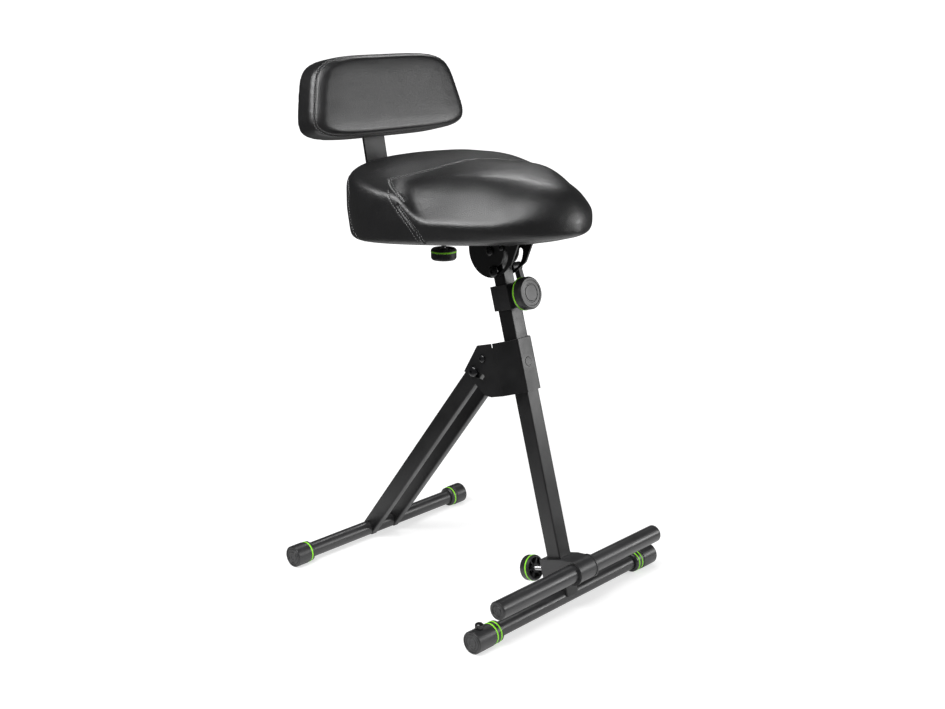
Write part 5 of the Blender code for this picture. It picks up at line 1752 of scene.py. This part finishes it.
    def welt_lines(self, tailor: Tailor) -> list[list[Vector]]:
        """The seam round the rear panel, up one flank, across the back and down the other.

        Args:
            tailor: the skin's tailor.

        Returns:
            A list of one line.
        """
        low = ((0.186, 0.118, 0.026), (0.1947, 0.1327, 0.034), (0.195, 0.1456, 0.050))
        high = ((0.1975, 0.149, 0.081), (0.197, 0.149, 0.106), (0.186, 0.163, 0.122))
        half = (*low, *high, (0.150, 0.196, 0.130), (0.075, 0.212, 0.134))
        left = [self.pivot + Vector(point) for point in half]
        right = [self.pivot + Vector((-x, y, z)) for x, y, z in reversed(half)]
        return [tailor.line([*left, *right])]

    def fold_lines(self, tailor: Tailor) -> list[list[Vector]]:
        """The soft fold behind each flank facet."""
        points = ((0.1800, 0.012, 0.072), (0.1735, 0.030, 0.091), (0.1690, 0.049, 0.111))
        return self.mirrored(tailor, points)


@dataclass
class Backrest:
    """The backrest pad, its board and the bolts that hold it to the bar."""

    shop: Workshop
    pivot: Vector
    behind: float = 0.3140
    rise: float = 0.2330
    lean: float = math.radians(11.3)
    half_height: float = 0.0700
    top_half: float = 0.158
    foot_half: float = 0.195
    thick: float = 0.051
    power: float = 4.8
    front_roll: float = 0.026
    roll_depth: float = 0.018
    roll_power: float = 1.6
    low_roll: float = 0.32
    top_roll: float = 0.36
    back_roll: float = 0.005
    crown: float = 0.0010
    board: float = 0.015
    shrink: float = 0.0006
    shrink_from: float = 0.002
    shrink_run: float = 0.015
    segments: int = 240
    held: float = 0.004
    seam_inset: float = 0.0060
    seam_depth: float = 0.0088
    row_offset: float = 0.0027
    board_edge: float = 0.0010
    bolt_spacing: float = 0.050
    bar_thick: float = 0.005
    bolt_head: float = 0.0075
    bolt_shank: float = 0.003

    def build(self) -> None:
        """Builds the pad, its stitches, its board and its bolts."""
        away = self.axes.to_3x3() @ Vector((0, -1, 0))
        origin = self.axes @ Vector((0, -2 * GAP - self.board, 0))
        stuffing = Stuffing(cap=0.001)
        skin = stuffing.fill("backrest_work", self.form(), self.held, away, origin)
        tailor = Tailor(skin)
        seam = tailor.line(self.loop(self.seam_inset, self.seam_depth))
        tailor.refine([seam])
        tailor.press([seam], BACKREST_SEAM)
        rows = [tailor.stitches(seam, aside) for aside in (self.row_offset, -self.row_offset)]
        self.shop.upholster("backrest", skin, rows, self.board_edge)
        self.build_bolts()

    @property
    def axes(self) -> Matrix:
        """The pad's own frame: +Y points out of its back, where the bar is."""
        place = self.pivot + Vector((0, self.behind, self.rise))
        return Matrix.Translation(place) @ Matrix.Rotation(-self.lean, 4, "X")

    def front_depth(self) -> float:
        """The distance from the bar to the pad's front."""
        return 2 * GAP + self.board + self.thick

    def outline(self, angle: float, inset: float) -> tuple[float, float]:
        """A point of the rounded outline, drawn in by an inset.

        Args:
            angle: the angle round the outline.
            inset: how far it is drawn in.

        Returns:
            The point's x and z.
        """
        cos, sin = math.cos(angle), math.sin(angle)
        size = (abs(cos) ** self.power + abs(sin) ** self.power) ** (-1 / self.power)
        level = sin * size
        half = (self.foot_half + self.top_half) / 2
        half += (self.top_half - self.foot_half) / 2 * level
        upright = inset * (self.top_roll if level > 0 else self.low_roll)
        return (half - inset) * cos * size, (self.half_height - upright) * level

    def loop(self, inset: float, depth: float) -> list[Vector]:
        """Points once round the pad, at an inset and a depth behind its front.

        Args:
            inset: how far they are drawn in.
            depth: the depth behind the front.

        Returns:
            The points.
        """
        points = []
        for angle in arc(96, 2 * math.pi):
            x, z = self.outline(angle, inset)
            points.append(self.axes @ Vector((x, depth - self.front_depth(), z)))
        return points

    def form(self) -> BMesh:
        """The cut shape of the pad, a little smaller than it is when filled.

        Returns:
            The shape in its place.
        """
        rings = []
        for i in range(16):
            share = i / 16
            rings.append((share, self.front_roll, -self.crown * (1 - share**6)))
        power = 2 / self.roll_power
        for angle in arc(16):
            out, down = math.sin(angle) ** power, math.cos(angle) ** power
            rings.append((1, self.front_roll * (1 - out), self.roll_depth * (1 - down)))
        for angle in arc(6):
            depth = self.thick - self.back_roll * (1 - math.sin(angle))
            rings.append((1, self.back_roll * (1 - math.cos(angle)), depth))
        rings += [(share, self.back_roll, self.thick) for share in (0.8, 0.5, 0.0)]
        shape = bmesh.new()
        for vertex, level, angle in wrapped(shape, self.segments, len(rings) - 1):
            share, inset, depth = rings[level]
            x, z = self.outline(angle, inset)
            vertex.co = (x * share, depth - self.front_depth(), z * share)
        bmesh.ops.recalc_face_normals(shape, faces=shape.faces)
        shape.normal_update()
        board_front = 2 * GAP + self.board
        for vertex in shape.verts:
            free = ease((-vertex.co.y - board_front - self.shrink_from) / self.shrink_run)
            vertex.co -= vertex.normal * self.shrink * free
        return placed(shape, self.axes)

    def build_bolts(self) -> None:
        """The two bolts through the bar into the board."""
        for name, sign in (("upper", 1), ("lower", -1)):
            seat = Vector((0, self.bar_thick + GAP, sign * self.bolt_spacing / 2))
            bolt = button_head(self.bolt_head, self.bolt_shank, self.bar_thick + self.board)
            place = self.axes @ Matrix.Translation(seat) @ BACKWARD
            self.shop.stand_in(f"backrest_bolt_{name}", placed(bolt, place))


@dataclass
class Softbox:
    """A soft lamp that the camera doesn't see."""

    name: str
    place: Place
    target: Place
    size: tuple[float, float]
    glow: float

    def build(self) -> None:
        """Hangs the lamp. Its power follows from its size and its glow."""
        data = bpy.data.lights.new(self.name, "AREA")
        data.shape = "RECTANGLE"
        data.size, data.size_y = self.size
        data.energy = self.glow * math.pi * self.size[0] * self.size[1]
        lamp = bpy.data.objects.new(self.name, data)
        aimed(lamp, Vector(self.place), Vector(self.target))
        lamp.visible_camera = False


@dataclass
class Studio:
    """The camera, the pale floor with its painted pool of light, and the plain soft light."""

    post: Post
    image_width: float = 945.0
    focal_pixels: float = 1305.2
    sensor: float = 36.0
    camera_from_bar: Place = (-1.6033, -1.2766, 1.0073)
    target_from_bar: Place = (0.0, 0.2206, 0.4030)
    floor_radius: float = 400.0
    floor_height: float = -0.0002
    floor_glow: float = 0.60
    floor_colour: float = 0.58
    # Painted pool of light on the floor: its tone for rays the camera doesn't see, and its glow in
    # reflections (lit, fading to reflected), are high round a spot at the sitter's left, a little
    # forward, and low away from it
    unseen_near: float = 0.80
    unseen_far: float = 0.08
    spot_at: Place = (0.25, -0.10, 0.0)
    spot_near: float = 0.50
    spot_far: float = 0.95
    near: float = 0.5
    far: float = 2.6
    reflected: float = 0.05
    lit: float = 0.35
    ambient: float = 0.36

    def build(self) -> None:
        """Sets up the view, the floor, the world and the lamps."""
        scene = bpy.context.scene
        scene.view_settings.view_transform = "Standard"
        self.build_camera(scene)
        self.build_floor()
        self.build_world(scene)
        for box in (
            Softbox("overhead", (-1.52, -0.02, 2.02), (-0.1, 0, 0.7), (1.9, 1.0), 7.2),
            Softbox("overhead_front", (-0.80, -0.58, 2.15), (-0.3, -0.3, 0.7), (1.0, 0.9), 4.9),
            Softbox("front_left", (1.70, -1.75, 0.72), (0, 0, 0.6), (1.3, 0.48), 9.2),
            Softbox("front_left_high", (1.70, -1.75, 1.36), (0, 0, 0.7), (1.3, 0.80), 2.2),
            Softbox("back_left", (1.56, 0.90, 2.30), (0, 0, 0.75), (0.6, 0.5), 9.0),
        ):
            box.build()

    def build_camera(self, scene: bpy.types.Scene) -> None:
        """The camera at the photograph's viewing angle.

        Args:
            scene: the scene that it is set on.
        """
        data = bpy.data.cameras.new("view")
        data.sensor_fit = "HORIZONTAL"
        data.sensor_width = self.sensor
        data.lens = self.focal_pixels / self.image_width * self.sensor
        data.clip_end = 2 * self.floor_radius
        camera = bpy.data.objects.new("view", data)
        bar = Vector((0, self.post.foot.y, 0))
        aimed(camera, Vector(self.camera_from_bar) + bar, Vector(self.target_from_bar) + bar)
        scene.camera = camera

    def build_floor(self) -> None:
        """A pale floor that keeps the stool's shadow, with a painted pool of light that only
        reflections and bounced light see.
        """
        shape = bmesh.new()
        bmesh.ops.create_circle(shape, cap_ends=True, segments=64, radius=self.floor_radius)
        floor = as_object("floor", shape)
        floor.location.z = self.floor_height
        material = bpy.data.materials.new("pale_floor")
        material.use_nodes = True
        graph = Graph(material.node_tree)
        seen = self.seen(graph)
        place = graph.place()
        kind = "ShaderNodeVectorMath"
        away = graph.node(kind, {"operation": "LENGTH"}, {0: place}, "Value")
        glow = self.floor_glow + (1 - self.floor_glow) * away.eased(self.near, self.far)
        # Painted pool of light: near this spot the floor glows in reflections and bounces more
        # light, standing in for the lamps' light on the floor
        off = graph.node(kind, {"operation": "DISTANCE"}, {0: place, 1: self.spot_at}, "Value")
        spot = off.eased(self.spot_near, self.spot_far)
        mirrored = self.lit + (self.reflected - self.lit) * spot
        strength = seen * glow + self.mirrored(graph) * mirrored
        shine = graph.node("ShaderNodeEmission", None, {"Color": WHITE, "Strength": strength})
        unseen = self.unseen_near + (self.unseen_far - self.unseen_near) * spot
        tone = unseen + (self.floor_colour - unseen) * seen
        matt = graph.node("ShaderNodeBsdfDiffuse", None, {"Color": tone})
        both = graph.node("ShaderNodeAddShader", None, {0: shine, 1: matt})
        graph.node("ShaderNodeOutputMaterial", None, {"Surface": both})
        floor.data.materials.append(material)
        floor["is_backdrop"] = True

    def seen(self, graph: Graph) -> Value:
        """1 for what the camera sees, also through glass."""
        straight = graph.node("ShaderNodeLightPath", None, None, "Is Camera Ray")
        return straight.larger(graph.node("ShaderNodeLightPath", None, None, "Is Transmission Ray"))

    def mirrored(self, graph: Graph) -> Value:
        """1 for what a shiny surface mirrors."""
        return graph.node("ShaderNodeLightPath", None, None, "Is Glossy Ray")

    def build_world(self, scene: bpy.types.Scene) -> None:
        """White behind the floor, and dim as a light.

        Args:
            scene: the scene that it lights.
        """
        world = bpy.data.worlds.new("studio")
        world.use_nodes = True
        scene.world = world
        graph = Graph(world.node_tree)
        light = self.ambient - (self.ambient - self.reflected) * self.mirrored(graph)
        strength = light.larger(self.seen(graph))
        back = graph.node("ShaderNodeBackground", None, {"Color": WHITE, "Strength": strength})
        graph.node("ShaderNodeOutputWorld", None, {"Surface": back})


def build_seat_screws(shop: Workshop) -> None:
    """The four screws that hold the seat's bracket to its board.

    Args:
        shop: the workshop.
    """
    head, shank, rise_share = 0.0050, 0.0025, 0.5
    rise = head * rise_share
    for where in ("front_right", "front_left", "back_right", "back_left"):
        low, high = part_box(f"seat_screw_{where}")
        middle = (low + high) / 2
        screw = button_head(head, shank, high.z - low.z - rise, rise_share)
        place = Matrix.Translation((middle.x, middle.y, low.z + rise)) @ DOWN
        shop.stand_in(f"seat_screw_{where}", placed(screw, place))


def build_stool(shop: Workshop, post: Post) -> None:
    """Builds every sub-assembly in order.

    Args:
        shop: the workshop.
        post: the leaning post.
    """
    pivot = shop.middle("tilt_pivot_bolt")
    pivot.x = 0
    FootBar(
        shop,
        "front",
        radius=0.0125,
        reach=0.2387,
        cap_radius=0.0190,
        cap_length=0.060,
        socket=0.026,
        rings=(0.0075, 0.0165),
    ).build()
    FootBar(
        shop,
        "rear",
        radius=0.0135,
        reach=0.2216,
        cap_radius=0.0196,
        cap_length=0.040,
        socket=0.034,
        rings=(0.0075,),
    ).build()
    Uprights(shop, post).build()
    Footrest(shop, post).build()
    ahead = COLLAR_FRONT + BOSS_LENGTH + 2 * GAP
    knob_at = post.at(0, -ahead, CLAMP_ALONG) @ FORWARD
    ClampKnob(shop, "height", knob_at, **LARGE_KNOB, stud_length=ahead - UPPER_POST_FRONT).build()
    low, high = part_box("backrest_knob")
    middle = (low + high) / 2
    knob_at = Matrix.Translation((middle.x, middle.y, high.z)) @ DOWN
    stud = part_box("backrest_stud")[1].z - high.z
    ClampKnob(shop, "backrest", knob_at, **SMALL_KNOB, stud_length=stud).build()
    build_seat_screws(shop)
    Saddle(shop, pivot).build()
    Backrest(shop, pivot).build()


def main() -> None:
    """Builds the dressed stool and its studio."""
    logging.basicConfig(level=logging.INFO, format="%(name)s %(message)s")
    for obj in list(bpy.data.objects):
        bpy.data.objects.remove(obj)
    shop = Workshop()
    post = Post(shop)
    Studio(post).build()
    build_stool(shop, post)
    boxes = {"cad": shop.cad_box, "visual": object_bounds()}
    {name: [list(corner) for corner in box] for name, box in boxes.items()}


if __name__ == "__main__":
    main()
